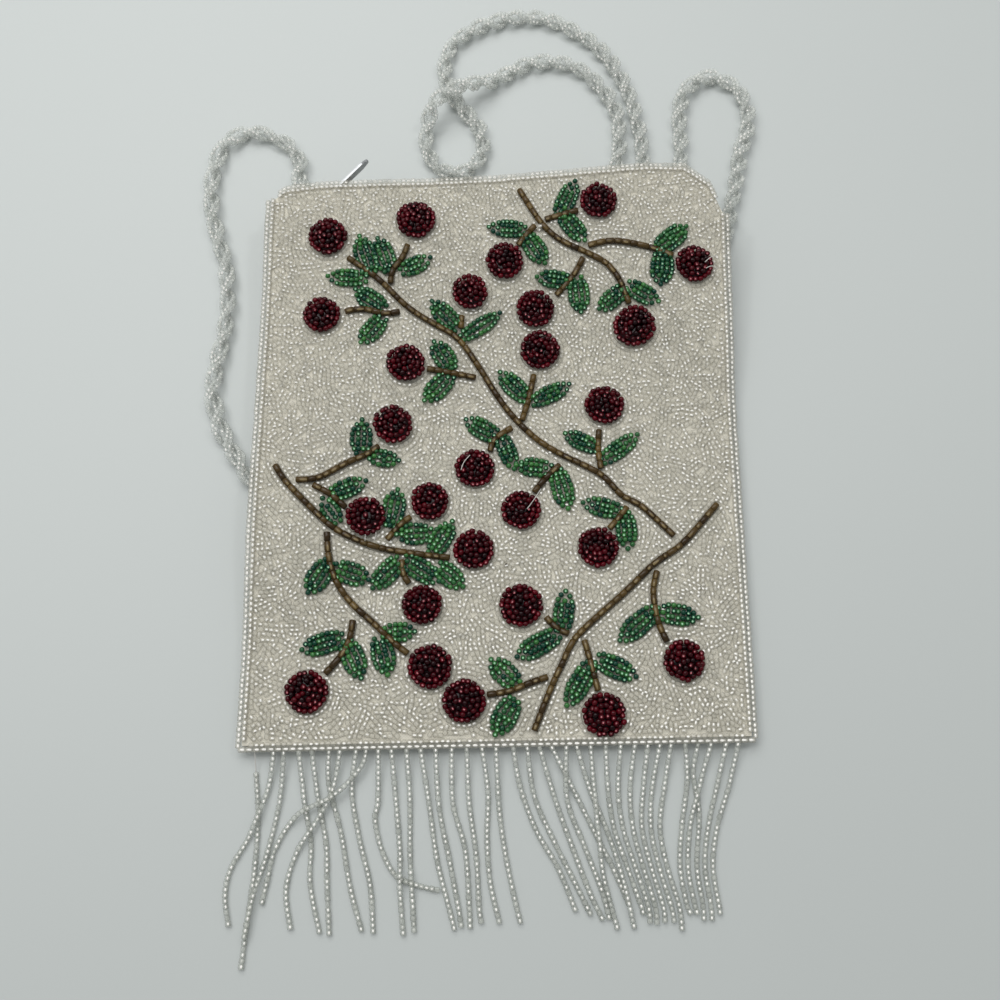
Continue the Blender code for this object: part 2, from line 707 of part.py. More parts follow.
def build_leaf(layer, leaf, stems):
    """One leaf: a pointed oval with a raised middle, its foot on the nearest stem."""
    tip_x, tip_y, foot_x, foot_y, wide = leaf
    tip = layer.on_front(tip_x, tip_y)
    foot = layer.on_front(foot_x, foot_y)
    side = layer.on_front(foot_x + wide / 2, foot_y)
    half = (side - foot).length
    foot = nearest_on(foot, stems)
    along = foot - tip
    along.z = 0.0
    across = Vector((-along.y, along.x, 0)).normalized() * half
    widths = ((0.22, 0.8), (0.55, 1.0), (0.85, 0.55))
    stations = [(0.0, 0.0), *widths, (1.0, 0.0)]
    stations += [(share, -reach) for share, reach in reversed(widths)]
    base = seat_flat(layer, [tip + along * share + across * reach for share, reach in stations])
    bm = bmesh.new()
    lower = [bm.verts.new(point + Vector((0, 0, LEAF_STEP))) for point in base]
    ridge = []
    for share, high in ((0.2, 0.8), (0.5, 1.0), (0.85, 0.8)):
        point = base[0].lerp(base[4], share)
        ridge.append(bm.verts.new(point + Vector((0, 0, LEAF_HIGH * high))))
    bm.faces.new(lower)
    for side in (lower[:5], [lower[0], *reversed(lower[4:])]):
        bm.faces.new((side[0], side[1], ridge[0]))
        bm.faces.new((side[1], side[2], ridge[1], ridge[0]))
        bm.faces.new((side[2], side[3], ridge[2], ridge[1]))
        bm.faces.new((side[3], side[4], ridge[2]))
    bmesh.ops.triangulate(bm, faces=bm.faces)
    return place_mesh("leaf", bm, "leaf_beads", 40)


def build_sprigs(layer):
    """Each twig with its leaves as one body: its stems are half round rows of dark beads."""
    for sprig, stems in TWIGS.items():
        rows = []
        pieces = []
        for number, stem in enumerate(stems):
            row = seat_row(layer, [layer.on_front(x, y) for x, y in stem])
            if number:
                row[0] = nearest_on(row[0], rows[:1] if number == 1 else rows)
            row = [point + Vector((0, 0, STEM_STEP * number)) for point in row]
            rows.append(row)
            bm = bmesh.new()
            add_tube(bm, row, (TWIG_WIDE / 2, TWIG_HIGH), 4, flat_below=True)
            bmesh.ops.triangulate(bm, faces=bm.faces)
            pieces.append(place_mesh(f"sprig_{sprig}" if not number else "stem", bm, "twig_beads"))
        pieces += [build_leaf(layer, leaf, rows) for leaf in LEAVES[sprig]]
        combine(pieces[0], pieces[1:], "UNION")


# Zip

def zip_frame():
    """From the zip's own axes to the bag: x along the zip, y out of the mouth."""
    return (Matrix.Translation((0, ZIP_MIDDLE_Y, mouth_level()))
            @ Matrix.Rotation(ZIP_SLOPE, 4, "Z"))


def add_block(bm, low, high):
    """Adds a box between two corners."""
    size = Vector(high) - Vector(low)
    middle = (Vector(high) + Vector(low)) / 2
    bmesh.ops.create_cube(bm, size=1.0, matrix=Matrix.Translation(middle) @ Matrix.Diagonal((*size, 1)))


def add_prism(bm, outline, low, high):
    """Adds an outline in x and z, extruded along y from low to high."""
    bottom = [bm.verts.new((x, low, z)) for x, z in outline]
    top = [bm.verts.new((x, high, z)) for x, z in outline]
    bm.faces.new(bottom)
    bm.faces.new(top)
    for number in range(len(outline)):
        other = (number + 1) % len(outline)
        bm.faces.new((bottom[number], bottom[other], top[other], top[number]))


def build_teeth(side):
    """One row of teeth, each a block of its own."""
    near = side * TOOTH_IN
    far = side * (TOOTH_IN + TOOTH_WIDE)
    low, high = sorted((near, far))
    teeth = []
    x = SLIDER_REST - SLIDER_LONG / 2
    while x < ZIP_HALF - STOP_LONG - GAP - TOOTH_LONG:
        bm = bmesh.new()
        add_block(bm, (x, -TOOTH_THICK / 2, low), (x + TOOTH_LONG, TOOTH_THICK / 2, high))
        teeth.append(place_mesh("tooth", bm, "zip_metal"))
        x += TOOTH_PITCH
    return teeth


def build_tapes():
    """The two tapes with their teeth: each leaves its teeth, turns down and lines its panel.

    The two rows lie side by side and unmeshed, because the zip is open.
    """
    outside = MOUTH_ROOM / 2 - GAP
    inside = outside - TAPE_THICK
    root = tape_root()
    section = ((root, TAPE_THICK / 2), (outside, TAPE_THICK / 2), (outside, -TAPE_DEEP),
               (inside, -TAPE_DEEP), (inside, -TAPE_THICK / 2), (root, -TAPE_THICK / 2))
    for name, side in (("zip_tape_front", 1), ("zip_tape_back", -1)):
        bm = bmesh.new()
        ends = [[bm.verts.new((x, y, side * z)) for z, y in section]
                for x in (-ZIP_HALF, ZIP_HALF)]
        bm.faces.new(ends[0])
        bm.faces.new(ends[1])
        for number in range(len(section)):
            other = (number + 1) % len(section)
            bm.faces.new((ends[0][number], ends[0][other], ends[1][other], ends[1][number]))
        tape = place_mesh(name, bm, "zip_tape")
        combine(tape, build_teeth(side), "UNION")
        tape.matrix_world = zip_frame()


def tape_root():
    """How far from the zip's middle a tape starts, inside its teeth."""
    return TOOTH_IN + TOOTH_WIDE / 2


def build_stops():
    """The stop at each end of the chain."""
    slider_end = SLIDER_REST - SLIDER_LONG / 2
    root = tape_root() - GAP
    for name, start in (("zip_stop_left", slider_end - GAP - STOP_LONG),
                        ("zip_stop_right", ZIP_HALF - STOP_LONG)):
        bm = bmesh.new()
        add_block(bm, (start, -TOOTH_THICK / 2, -root), (start + STOP_LONG, TOOTH_THICK / 2, root))
        stop = place_mesh(name, bm, "zip_metal")
        stop.matrix_world = zip_frame()


def slider_sizes():
    """Half the channel's width and height, and the slider's half width and half height."""
    channel = TOOTH_IN + TOOTH_WIDE + GAP
    inner = TOOTH_THICK / 2 + GAP
    return channel, inner, channel + SLIDER_FLANGE, inner + SLIDER_WALL


def build_slider():
    """The slider: two plates with flanges, the divider at its nose and the bridge on top."""
    channel, inner, half_wide, half_high = slider_sizes()
    nose = SLIDER_LONG / 2
    shoulder = nose - half_wide * 0.6
    outline = ((-nose, half_wide * 0.86), (-nose, -half_wide * 0.86), (0, -half_wide),
               (shoulder, -half_wide), (nose, -half_wide * 0.55), (nose, half_wide * 0.55),
               (shoulder, half_wide), (0, half_wide))
    bm = bmesh.new()
    add_prism(bm, outline, -half_high, half_high)
    body = place_mesh("zip_slider", bm, "zip_metal")

    def cut(low, high):
        """Takes a box out of the slider."""
        box = bmesh.new()
        add_block(box, low, high)
        combine(body, [place_mesh("cutter", box, "zip_metal")], "DIFFERENCE")

    divider = TOOTH_IN - GAP
    long = SLIDER_LONG
    for side in (1, -1):
        low, high = sorted((side * divider, side * channel))
        cut((-long, -inner, low), (long, inner, high))
    cut((-long, -inner, -divider - GAP), (nose * 0.45, inner, divider + GAP))
    cut((-long, -SLIDER_SLOT / 2, channel - GAP), (long, SLIDER_SLOT / 2, half_wide * 2))
    cut((-long, -SLIDER_SLOT / 2, -half_wide * 2), (long, SLIDER_SLOT / 2, -channel + GAP))

    bridge = bmesh.new()
    base = half_high - GAP
    half = BRIDGE_SPAN / 2
    bar = half_high + BRIDGE_OPEN
    add_block(bridge, (-half - BRIDGE_FOOT, base, -BRIDGE_WIDE / 2),
              (half + BRIDGE_FOOT, bar + BRIDGE_FOOT, BRIDGE_WIDE / 2))
    arch = place_mesh("arch", bridge, "zip_metal")
    hole = bmesh.new()
    add_block(hole, (-half, half_high, -BRIDGE_WIDE), (half, bar, BRIDGE_WIDE))
    combine(arch, [place_mesh("hole", hole, "zip_metal")], "DIFFERENCE")
    combine(body, [arch], "UNION")
    body.matrix_world = zip_frame() @ Matrix.Translation((SLIDER_REST, 0, 0))
    return body


def pull_pivot():
    """The pull's axis in the zip's own axes: the middle of the pin under the bridge."""
    half_high = slider_sizes()[3]
    return Vector((SLIDER_REST, half_high + BRIDGE_OPEN / 2, 0))


def build_pull():
    """The pull: a flat tab whose eye has a pin that passes under the bridge."""
    bm = bmesh.new()
    half = PULL_WIDE / 2
    arm = BRIDGE_WIDE / 2 + GAP
    back = PULL_THICK / 2
    outline = ((-back, half), (-back, -half), (PULL_LONG * 0.82, -half), (PULL_LONG, -half * 0.45),
               (PULL_LONG, half * 0.45), (PULL_LONG * 0.82, half))
    add_prism(bm, outline, -PULL_THICK / 2, PULL_THICK / 2)
    pull = place_mesh("zip_pull", bm, "zip_metal")
    eye = bmesh.new()
    add_block(eye, (-back * 2, -PULL_THICK, -arm), (PULL_EYE, PULL_THICK, arm))
    combine(pull, [place_mesh("eye", eye, "zip_metal")], "DIFFERENCE")
    pin = bmesh.new()
    bmesh.ops.create_cone(pin, cap_ends=True, segments=PIN_SIDES, radius1=PULL_PIN / 2,
                          radius2=PULL_PIN / 2, depth=2 * arm + 2 * GAP)
    combine(pull, [place_mesh("pin", pin, "zip_metal")], "UNION")
    pull.matrix_world = (zip_frame() @ Matrix.Translation(pull_pivot())
                         @ Matrix.Rotation(PULL_REST, 4, "Z"))


# Strap and fringe

def build_strap():
    """The strap: one rope of bead strands, sewn in at both corners of the mouth."""
    route = strap_route()
    dense = smooth_row(route, 600, 10)
    count = round(row_length(dense) / STRAP_STEP) + 1
    curve = bpy.data.curves.new("strap", "CURVE")
    curve.dimensions = "3D"
    curve.bevel_depth = STRAP_DIAMETER / 2
    curve.bevel_resolution = 2
    curve.use_fill_caps = True
    spline = curve.splines.new("POLY")
    points = spread(dense, count)
    spline.points.add(len(points) - 1)
    for target, point in zip(spline.points, points):
        target.co = (*point, 1.0)
    place_object("strap", curve, "clear_beads")


def hem_point(layer, x):
    """The middle of the bottom row of edge beads at x."""
    y = bottom_edge(x)
    seam = (layer.height(x, y, layer.low) + layer.height(x, y, layer.high)) / 2
    return Vector((x, y - GAP - EDGE_BEAD / 2, seam))


def strand_points(layer, stations):
    """One strand from the bottom edge down to the table, before it is lifted over others."""
    row = on_table(stations, STRAND_DIAMETER / 2)
    row[0] = hem_point(layer, row[0].x)
    return smooth_row(row, STRAND_RINGS * 6 + 1)


def lift_over(row, laid):
    """Raises a strand where it crosses those laid before it."""
    need = STRAND_DIAMETER + GAP
    heights = [point.z for point in row]
    for number, point in enumerate(row):
        for other in laid:
            if (other.xy - point.xy).length < need * 1.05:
                heights[number] = max(heights[number], other.z + need)
    reach = 6
    lifted = []
    for number, point in enumerate(row):
        around = heights[max(number - reach, 0):number + reach + 1]
        lifted.append(Vector((point.x, point.y, max(around))))
    lifted[0].z = row[0].z
    return lifted


def build_hem(layer, name, start, end):
    """A run of the bottom row of edge beads."""
    points = [hem_point(layer, start + (end - start) * step / 3) for step in range(4)]
    bm = bmesh.new()
    add_tube(bm, points, EDGE_BEAD / 2, 6)
    return place_mesh(name, bm, "clear_beads", 60)


def build_fringe(layer):
    """The fringe: strands of beads hanging from the bottom row of edge beads, in runs."""
    laid = []
    strands = []
    for stations in FRINGE:
        row = lift_over(strand_points(layer, stations), laid)
        laid.extend(row)
        strands.append(row)
    starts = [row[0].x for row in strands]
    for first in range(0, len(strands), FRINGE_GROUP):
        last = first + FRINGE_GROUP
        left = LEFT_EDGE if first == 0 else (starts[first - 1] + starts[first]) / 2 + GAP
        right = RIGHT_EDGE if last >= len(starts) else (starts[last - 1] + starts[last]) / 2
        run = build_hem(layer, f"fringe_{first // FRINGE_GROUP + 1}", left, right)
        pieces = []
        for number in range(first, min(last, len(strands))):
            row = spread(strands[number], STRAND_RINGS + 1)
            radii = [STRAND_DIAMETER / 2] * len(row)
            if number == SLID_STRAND:
                radii[0] = THREAD_DIAMETER / 2
            bm = bmesh.new()
            add_tube(bm, row, radii, STRAND_SIDES)
            pieces.append(place_mesh("strand", bm, "clear_beads", 60))
        combine(run, pieces, "UNION")


def main():
    """Builds the whole bag."""
    remove_everything()
    layer = Layer()
    build_cloth(layer)
    build_edges(layer)
    for number, (x, y, size) in enumerate(BERRIES):
        build_berry(f"berry_{number + 1:02d}", layer, x, y, size)
    build_sprigs(layer)
    build_tapes()
    build_stops()
    build_slider()
    build_pull()
    build_strap()
    build_fringe(layer)


main()
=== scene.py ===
"""Dresses the beaded crossbody bag: its cloth, beads, sprigs, fringe, strap, zip and stage.

Metres, +Z up, +Y towards the zipped mouth. Berries, leaves, twigs, strands and strap are laid out on
a chart, a picture of the bag 1000 units wide with x to the right and y down.
"""
import math

import bpy
import numpy as np
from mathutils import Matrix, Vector
from mathutils.bvhtree import BVHTree
from mathutils.kdtree import KDTree


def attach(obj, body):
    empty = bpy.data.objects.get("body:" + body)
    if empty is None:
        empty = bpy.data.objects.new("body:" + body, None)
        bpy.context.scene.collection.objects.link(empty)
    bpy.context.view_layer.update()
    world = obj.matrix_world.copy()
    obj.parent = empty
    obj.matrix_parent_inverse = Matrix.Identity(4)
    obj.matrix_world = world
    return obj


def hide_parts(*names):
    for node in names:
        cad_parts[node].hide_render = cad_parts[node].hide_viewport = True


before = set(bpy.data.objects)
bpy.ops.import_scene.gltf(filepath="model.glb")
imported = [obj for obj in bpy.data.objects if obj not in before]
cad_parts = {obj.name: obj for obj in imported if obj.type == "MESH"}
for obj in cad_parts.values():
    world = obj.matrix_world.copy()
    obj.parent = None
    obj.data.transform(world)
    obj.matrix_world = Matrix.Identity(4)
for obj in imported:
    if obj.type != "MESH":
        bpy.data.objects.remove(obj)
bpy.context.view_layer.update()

bl_info = {
    "name": "Beaded crossbody bag",
    "version": (1, 0, 0),
    "blender": (4, 5, 0),
    "location": "3D View > Sidebar > Bag",
    "description": "Dresses a beaded bag with its cloth, beads, fringe, strap and zip",
    "category": "Object",
}

MILLIMETRE = 0.001

# How the chart sees the bag
CHART_MIDDLE = 500.0
CHART_FOCAL = 1083.0
CHART_TILT = math.radians(17.0)
CHART_DISTANCE = 0.361
CHART_ORIGIN = (-0.0004, 0.0186)

# The bag's outline, as its solids have it
LEFT_EDGE = -0.0793
RIGHT_EDGE = 0.0783
BOTTOM_LEFT = -0.0990
BOTTOM_RIGHT = -0.0960
TOP_STATIONS = (-0.0793, -0.0745, -0.0620, -0.0420, -0.0220, -0.0020, 0.0180,
                0.0360, 0.0520, 0.0650, 0.0735, 0.0783)
TOP_EDGE = (0.0890, 0.0935, 0.0952, 0.0960, 0.0965, 0.0976, 0.0996,
            0.1014, 0.1028, 0.1026, 0.0960, 0.0840)
FRONT_LIP_BACK = 0.0033
GAP = 0.0003
BACK_THICK = 0.0012
LINING_THICK = 0.0004
STRAP_DIAMETER = 0.0055
MOUTH_ROOM = 0.0061
MOUTH_LEVEL = STRAP_DIAMETER + 3 * GAP + BACK_THICK + MOUTH_ROOM / 2
TOOTH_REACH = 0.00142
LINING_INSET = 0.0050
LIP_XS = np.linspace(LEFT_EDGE + 0.003, RIGHT_EDGE - 0.003, 90)

# Berries on the chart: middle and radius
BERRIES = (
    (328, 238, 19), (416, 221, 19.5), (322, 316, 18.5), (470, 293, 17.5), (406, 364, 19),
    (393, 425, 19.5), (366, 517, 19.5), (430, 502, 19), (474, 550, 20), (422, 605, 20),
    (430, 667, 22), (464, 701, 21.5), (307, 692, 21.5), (598, 202, 18.5), (505, 262, 18.5),
    (694, 265, 18.5), (535, 310, 18.5), (540, 351, 19.5), (634, 327, 21), (604, 406, 19.5),
    (475, 469, 19.5), (521, 511, 19.5), (598, 548, 20.5), (521, 606, 21.5), (684, 661, 20.5),
    (604, 715, 22),
)

# Leaves on the chart, by sprig: tip, foot and width
LEAVES = {
    "upper": (
        (360, 237, 371, 273, 19), (378, 239, 389, 271, 19), (430, 258, 402, 272, 16),
        (328, 277, 366, 279, 16), (356, 290, 384, 309, 18), (361, 343, 383, 318, 18),
        (432, 302, 458, 329, 18), (500, 314, 462, 338, 14), (434, 342, 452, 369, 19),
        (425, 401, 451, 375, 18), (500, 373, 528, 400, 18), (569, 385, 532, 403, 16),
        (466, 420, 498, 438, 18), (514, 469, 501, 436, 16), (516, 466, 551, 469, 17),
        (568, 509, 557, 470, 19), (565, 434, 597, 449, 16), (637, 435, 603, 461, 16),
        (583, 503, 621, 512, 17), (628, 549, 625, 513, 18),
    ),
    "top_right": (
        (575, 182, 559, 216, 17), (585, 241, 562, 215, 17), (489, 228, 525, 230, 16),
        (545, 264, 526, 235, 18), (686, 227, 657, 250, 19), (661, 285, 663, 252, 20),
        (537, 277, 571, 282, 16), (581, 313, 577, 278, 18), (599, 310, 625, 288, 17),
        (658, 302, 628, 285, 17),
    ),
    "left": (
        (362, 420, 361, 454, 19), (399, 461, 370, 456, 16), (366, 481, 329, 496, 17),
        (323, 499, 338, 522, 16), (398, 490, 390, 526, 20), (397, 535, 431, 533, 19),
        (452, 522, 432, 554, 19), (308, 593, 329, 562, 20), (369, 580, 335, 568, 20),
        (373, 588, 400, 560, 19), (439, 582, 404, 559, 19), (463, 587, 438, 566, 19),
        (302, 650, 343, 638, 19), (361, 678, 347, 642, 20), (388, 675, 379, 638, 20),
        (415, 632, 385, 632, 17),
    ),
    "lower_right": (
        (566, 591, 562, 631, 18), (517, 657, 558, 634, 19), (620, 641, 655, 610, 19),
        (698, 618, 658, 612, 19), (567, 706, 591, 664, 19), (636, 677, 597, 659, 19),
        (491, 660, 517, 685, 20), (495, 735, 514, 700, 21),
    ),
}

# Twigs on the chart, each stem as its own row of beads
TWIGS = {
    "upper": (
        ((348, 258), (378, 279), (406, 306), (430, 322), (457, 338), (478, 366), (497, 396),
         (514, 418), (536, 439), (560, 454), (600, 474), (622, 496), (640, 505), (674, 536)),
        ((391, 284), (392, 271), (402, 259), (408, 245)),
        ((345, 312), (362, 309), (384, 314), (400, 312)),
        ((461, 329), (462, 316)),
        ((427, 369), (450, 373), (476, 378)),
        ((522, 421), (529, 398), (534, 375)),
        ((512, 428), (494, 440), (490, 452)),
        ((560, 465), (544, 480), (534, 493)),
        ((601, 469), (598, 450), (599, 430)),
        ((627, 507), (617, 520), (609, 529)),
    ),
    "top_right": (
        ((519, 190), (541, 223), (560, 240), (585, 252), (607, 264), (620, 281), (629, 304)),
        ((535, 226), (524, 238), (518, 246)),
        ((545, 220), (562, 215), (578, 211)),
        ((588, 246), (610, 241), (635, 244), (655, 249), (673, 256)),
        ((583, 258), (574, 275), (556, 296)),
    ),
    "left": (
        ((275, 465), (287, 483), (325, 521), (350, 537), (380, 548), (410, 553), (450, 558)),
        ((296, 480), (318, 478), (345, 464), (368, 454), (379, 446)),
        ((313, 485), (330, 494), (346, 508)),
        ((327, 532), (329, 558), (337, 583), (352, 604), (372, 622), (393, 642), (408, 654)),
        ((353, 620), (349, 642), (338, 660), (325, 674)),
        ((387, 540), (400, 525), (411, 517)),
        ((402, 560), (403, 574), (409, 584)),
    ),
    "lower_right": (
        ((717, 504), (682, 544), (655, 563), (625, 592), (577, 636), (563, 662), (550, 690),
         (534, 731)),
        ((657, 571), (653, 592), (658, 622), (667, 642)),
        ((584, 640), (591, 664), (598, 691)),
        ((548, 677), (530, 683), (510, 691), (487, 695)),
        ((569, 634), (556, 628), (546, 617)),
    ),
}

# Fringe on the chart, strand by strand from the left
FRINGE = (
    ((256, 753), (256, 773), (258, 815), (255, 865), (248, 915), (241, 967)),
    ((275, 753), (268, 790), (250, 835), (231, 868), (225, 895), (228, 924)),
    ((285, 753), (280, 800), (268, 850), (254, 895), (245, 936)),
    ((300, 752), (305, 805), (311, 843), (310, 883), (319, 931)),
    ((313, 752), (318, 797), (326, 843), (327, 883), (329, 933)),
    ((330, 752), (329, 784), (341, 833), (350, 887), (361, 929)),
    ((341, 751), (332, 793), (315, 824), (297, 852), (286, 889), (290, 927)),
    ((357, 751), (352, 791), (359, 837), (370, 885), (373, 931)),
    ((367, 750), (361, 768), (334, 796), (298, 815), (276, 847), (267, 881), (262, 902)),
    ((379, 750), (378, 801), (375, 818), (381, 848), (395, 875), (416, 885), (437, 890)),
    ((392, 750), (396, 801), (400, 854), (400, 890), (403, 933)),
    ((407, 750), (410, 801), (410, 852), (412, 892), (414, 930)),
    ((421, 749), (429, 803), (437, 860), (448, 904), (454, 928)),
    ((436, 749), (439, 806), (449, 858), (458, 906), (461, 925)),
    ((452, 749), (453, 803), (465, 849), (469, 902), (470, 926)),
    ((467, 749), (469, 801), (476, 854), (479, 906), (481, 921)),
    ((482, 748), (488, 793), (487, 837), (490, 881), (499, 921)),
    ((496, 748), (499, 806), (505, 852), (514, 896), (520, 921)),
    ((513, 748), (520, 786), (536, 830), (558, 868), (575, 909)),
    ((527, 748), (534, 795), (552, 837), (573, 879), (590, 913)),
    ((539, 748), (555, 799), (573, 849), (590, 893), (602, 918)),
    ((551, 748), (573, 789), (594, 831), (613, 868), (628, 902)),
    ((566, 748), (567, 799), (584, 845), (602, 891), (609, 917)),
    ((576, 748), (590, 790), (606, 828), (619, 866), (629, 905), (634, 926)),
    ((590, 747), (594, 790), (599, 840), (604, 878), (617, 927)),
    ((605, 747), (608, 790), (614, 828), (627, 866), (641, 905), (643, 912)),
    ((620, 747), (618, 790), (623, 828), (635, 866), (648, 905), (650, 921)),
    ((634, 747), (630, 788), (633, 828), (643, 866), (655, 905), (657, 922)),
    ((647, 746), (643, 790), (642, 828), (651, 866), (663, 905), (665, 920)),
    ((659, 746), (652, 788), (651, 828), (659, 866), (671, 905), (674, 920)),
    ((670, 746), (664, 788), (660, 828), (667, 866), (679, 905), (682, 928)),
    ((684, 746), (687, 780), (682, 825), (680, 866), (687, 905), (690, 912)),
    ((697, 745), (693, 772), (699, 812), (697, 866), (703, 905), (704, 918)),
    ((710, 745), (702, 775), (691, 820), (688, 866), (695, 905), (697, 912)),
    ((725, 745), (717, 785), (708, 828), (705, 866), (711, 905), (712, 918)),
    ((737, 744), (729, 785), (717, 828), (713, 866), (719, 905), (720, 912)),
)
SLID_STRAND = 0
SLID_LENGTH = 0.0072

# The strap on the chart, and its ends and hidden stretches in metres
STRAP_LEFT = ((299, 179), (300, 163), (291, 148), (276, 137), (255, 132), (236, 136), (222, 149),
              (214, 169), (211, 192), (214, 217), (219, 240), (225, 262), (227, 285), (227, 310),
              (223, 335), (217, 362), (213, 389), (216, 412), (224, 436), (238, 459), (258, 474))
STRAP_MIDDLE = ((618, 159), (619, 134), (616, 112), (607, 94), (594, 80), (576, 67), (556, 62),
                (537, 62), (519, 67), (502, 76), (486, 86), (468, 94), (451, 101), (436, 112),
                (427, 130), (428, 150), (438, 167), (454, 173), (470, 169), (480, 156), (483, 140),
                (478, 126), (466, 112), (454, 98), (446, 82), (445, 65), (451, 48), (464, 35),
                (483, 25), (505, 19), (528, 17), (550, 20), (569, 28), (588, 39), (604, 54),
                (618, 72), (629, 94), (638, 125), (643, 157))
STRAP_RIGHT = ((724, 236), (733, 200), (737, 175), (741, 150), (748, 128), (746, 104), (732, 85),
               (714, 77), (698, 79), (685, 92), (680, 110), (680, 135), (681, 157))
STRAP_CROSSING = (451, 100)
ROOT_LEFT = (-0.0650, 0.0880)
ROOT_RIGHT = (0.0605, 0.0925)
UNDER_LEFT = ((-0.0660, 0.0220), (-0.0560, 0.0480), (-0.0360, 0.0700), (-0.0080, 0.0840),
              (0.0200, 0.0890), (0.0380, 0.0960))
UNDER_RIGHT = ((0.0530, 0.0920), (0.0550, 0.0790), (0.0630, 0.0710), (0.0720, 0.0700))

# How the motif's beads and the rope's strands lie
LEAF_SHARES = (0.0, 0.10, 0.22, 0.40, 0.56, 0.75, 0.90, 1.0)
LEAF_WIDTHS = (0.0, 0.55, 0.86, 1.0, 1.0, 0.95, 0.82, 0.58)
LEAF_FULLNESS = 1.2
BERRY_HIGH = 0.0025
BERRY_CORE_HIGH = 0.0028
RING_STEP = 0.84
FIRST_RING_STEP = 0.88
ROPE_REACH = 0.00222
ROPE_FLAT = 0.80
ROPE_STRANDS = ((0.0, -0.40, 1.0), (0.0, 0.40, 1.0), (0.5, -0.40, 1.0), (0.5, 0.40, 1.0),
                (0.25, 0.0, 0.12))

ROPE_PITCH = ((0.0, 0.34, 0.46, 0.86, 1.0), (1.32, 1.28, 1.0, 0.97, 1.1))
BEAD_GAP = 0.97

# How far the rows lie from the edges and below the front's face
SECOND_ROW_IN = 0.0006
SIDE_SINK = 0.0011
LIP_SINK = 0.0007
SECOND_SINK = 0.0001
BOTTOM_SINK = 0.0002
FIELD_MARGIN = 0.0019
RUN_MARGIN = 0.0020
MOTIF_REACH = 0.00166
FRONT_CLOTH_THICK = 0.00030
FRONT_CLOTH_DROP = 0.00082

# How the hem's row and the strands hang, in bead widths or lengths
HEM_STEP = 1.35
HEM_BEAD = 1.33
STRAND_ROOT = 1.6
STRAND_CROSSING = 0.80
STRAND_STACK = 0.96

# How the field's runs are packed, in bead lengths
RUN_SPACING = 1.72
RUN_COUNTS = (3, 3, 4)
MOTIF_CLEARANCE = 0.62
OUTLINE_CLEARANCE = 0.80
SETTLING_ROUNDS = 26
BEAD_REACH = 0.98
BEAD_PUSH = 0.42
FIXED_REACH = 1.05
FIXED_PUSH = 0.85
CROWDED = 0.60
HOLE_STEP = 0.33
HOLE_REACH = 0.80
HOLE_APART = 0.88

# Kinds of glass: whose tints and lining colour they take, then how solid the body is, how wide the
# bright line of painted highlight is, the share of beads without one, clouding, gloss, how light the
# painted rim shade is, and mirror
GLASS = {
    "clear": ("clear", "clear", 0.26, 0.066, 0.30, 0.3, 0.12, 0.95, 0.5),
    "edge": ("clear", "clear", 0.34, 0.075, -0.6, 0.3, 0.12, 0.92, 0.5),
    "strap": ("strap", "clear", 0.27, 0.055, 0.45, 0.3, 0.12, 0.85, 0.5),
    "fringe": ("fringe", "clear", 0.34, 0.055, 0.12, 0.3, 0.12, 0.54, 0.5),
    "berry": ("berry", "berry", 1.0, 0.035, 0.60, 0.4, 0.12, 0.5, 0.18),
    "leaf": ("leaf", "leaf", 1.0, 0.05, 0.35, 0.6, 0.12, 0.5, 0.3),
    "twig": ("twig", "twig", 1.0, 0.05, 0.2, 0.6, 0.2, 0.5, 0.25),
}

BODY = "bag"
layout = {}


# What a user may change

def colour_setting(name, description, value):
    """A colour property."""
    return bpy.props.FloatVectorProperty(name=name, description=description, default=value,
                                         subtype="COLOR", size=3, min=0.0, max=1.0)


def length_setting(name, description, value):
    """A length property in metres."""
    return bpy.props.FloatProperty(name=name, description=description, default=value,
                                   subtype="DISTANCE", unit="LENGTH", min=0.0)


class BagSizes(bpy.types.PropertyGroup):
    """Sizes of the beads and threads."""
    field_long: length_setting("Field bead length", "Length of a seed bead of the field", 0.00168)
    field_wide: length_setting("Field bead width", "Width of a seed bead of the field", 0.00160)
    edge_long: length_setting("Edge bead length", "Length of a bead of the edge rows", 0.00168)
    edge_wide: length_setting("Edge bead width", "Width of a bead of the edge rows", 0.00175)
    leaf_wide: length_setting("Leaf bead width", "Width of a leaf bead", 0.00168)
    motif_wide: length_setting("Motif bead width", "Width of a berry bead", 0.00186)
    tube_long: length_setting("Tube bead length", "Length of a tube bead of the twigs", 0.00300)
    tube_wide: length_setting("Tube bead width", "Width of a tube bead of the twigs", 0.00215)
    strap_bead: length_setting("Strap bead width", "Width of a bead of the strap", 0.00168)
    strap_twist: length_setting("Strap twist", "Length of one turn of the strap's rope", 0.0152)
    fringe_wide: length_setting("Fringe bead width", "Width of a bead of the fringe", 0.00165)
    thread: length_setting("Thread width", "Width of the bead thread", 0.00028)


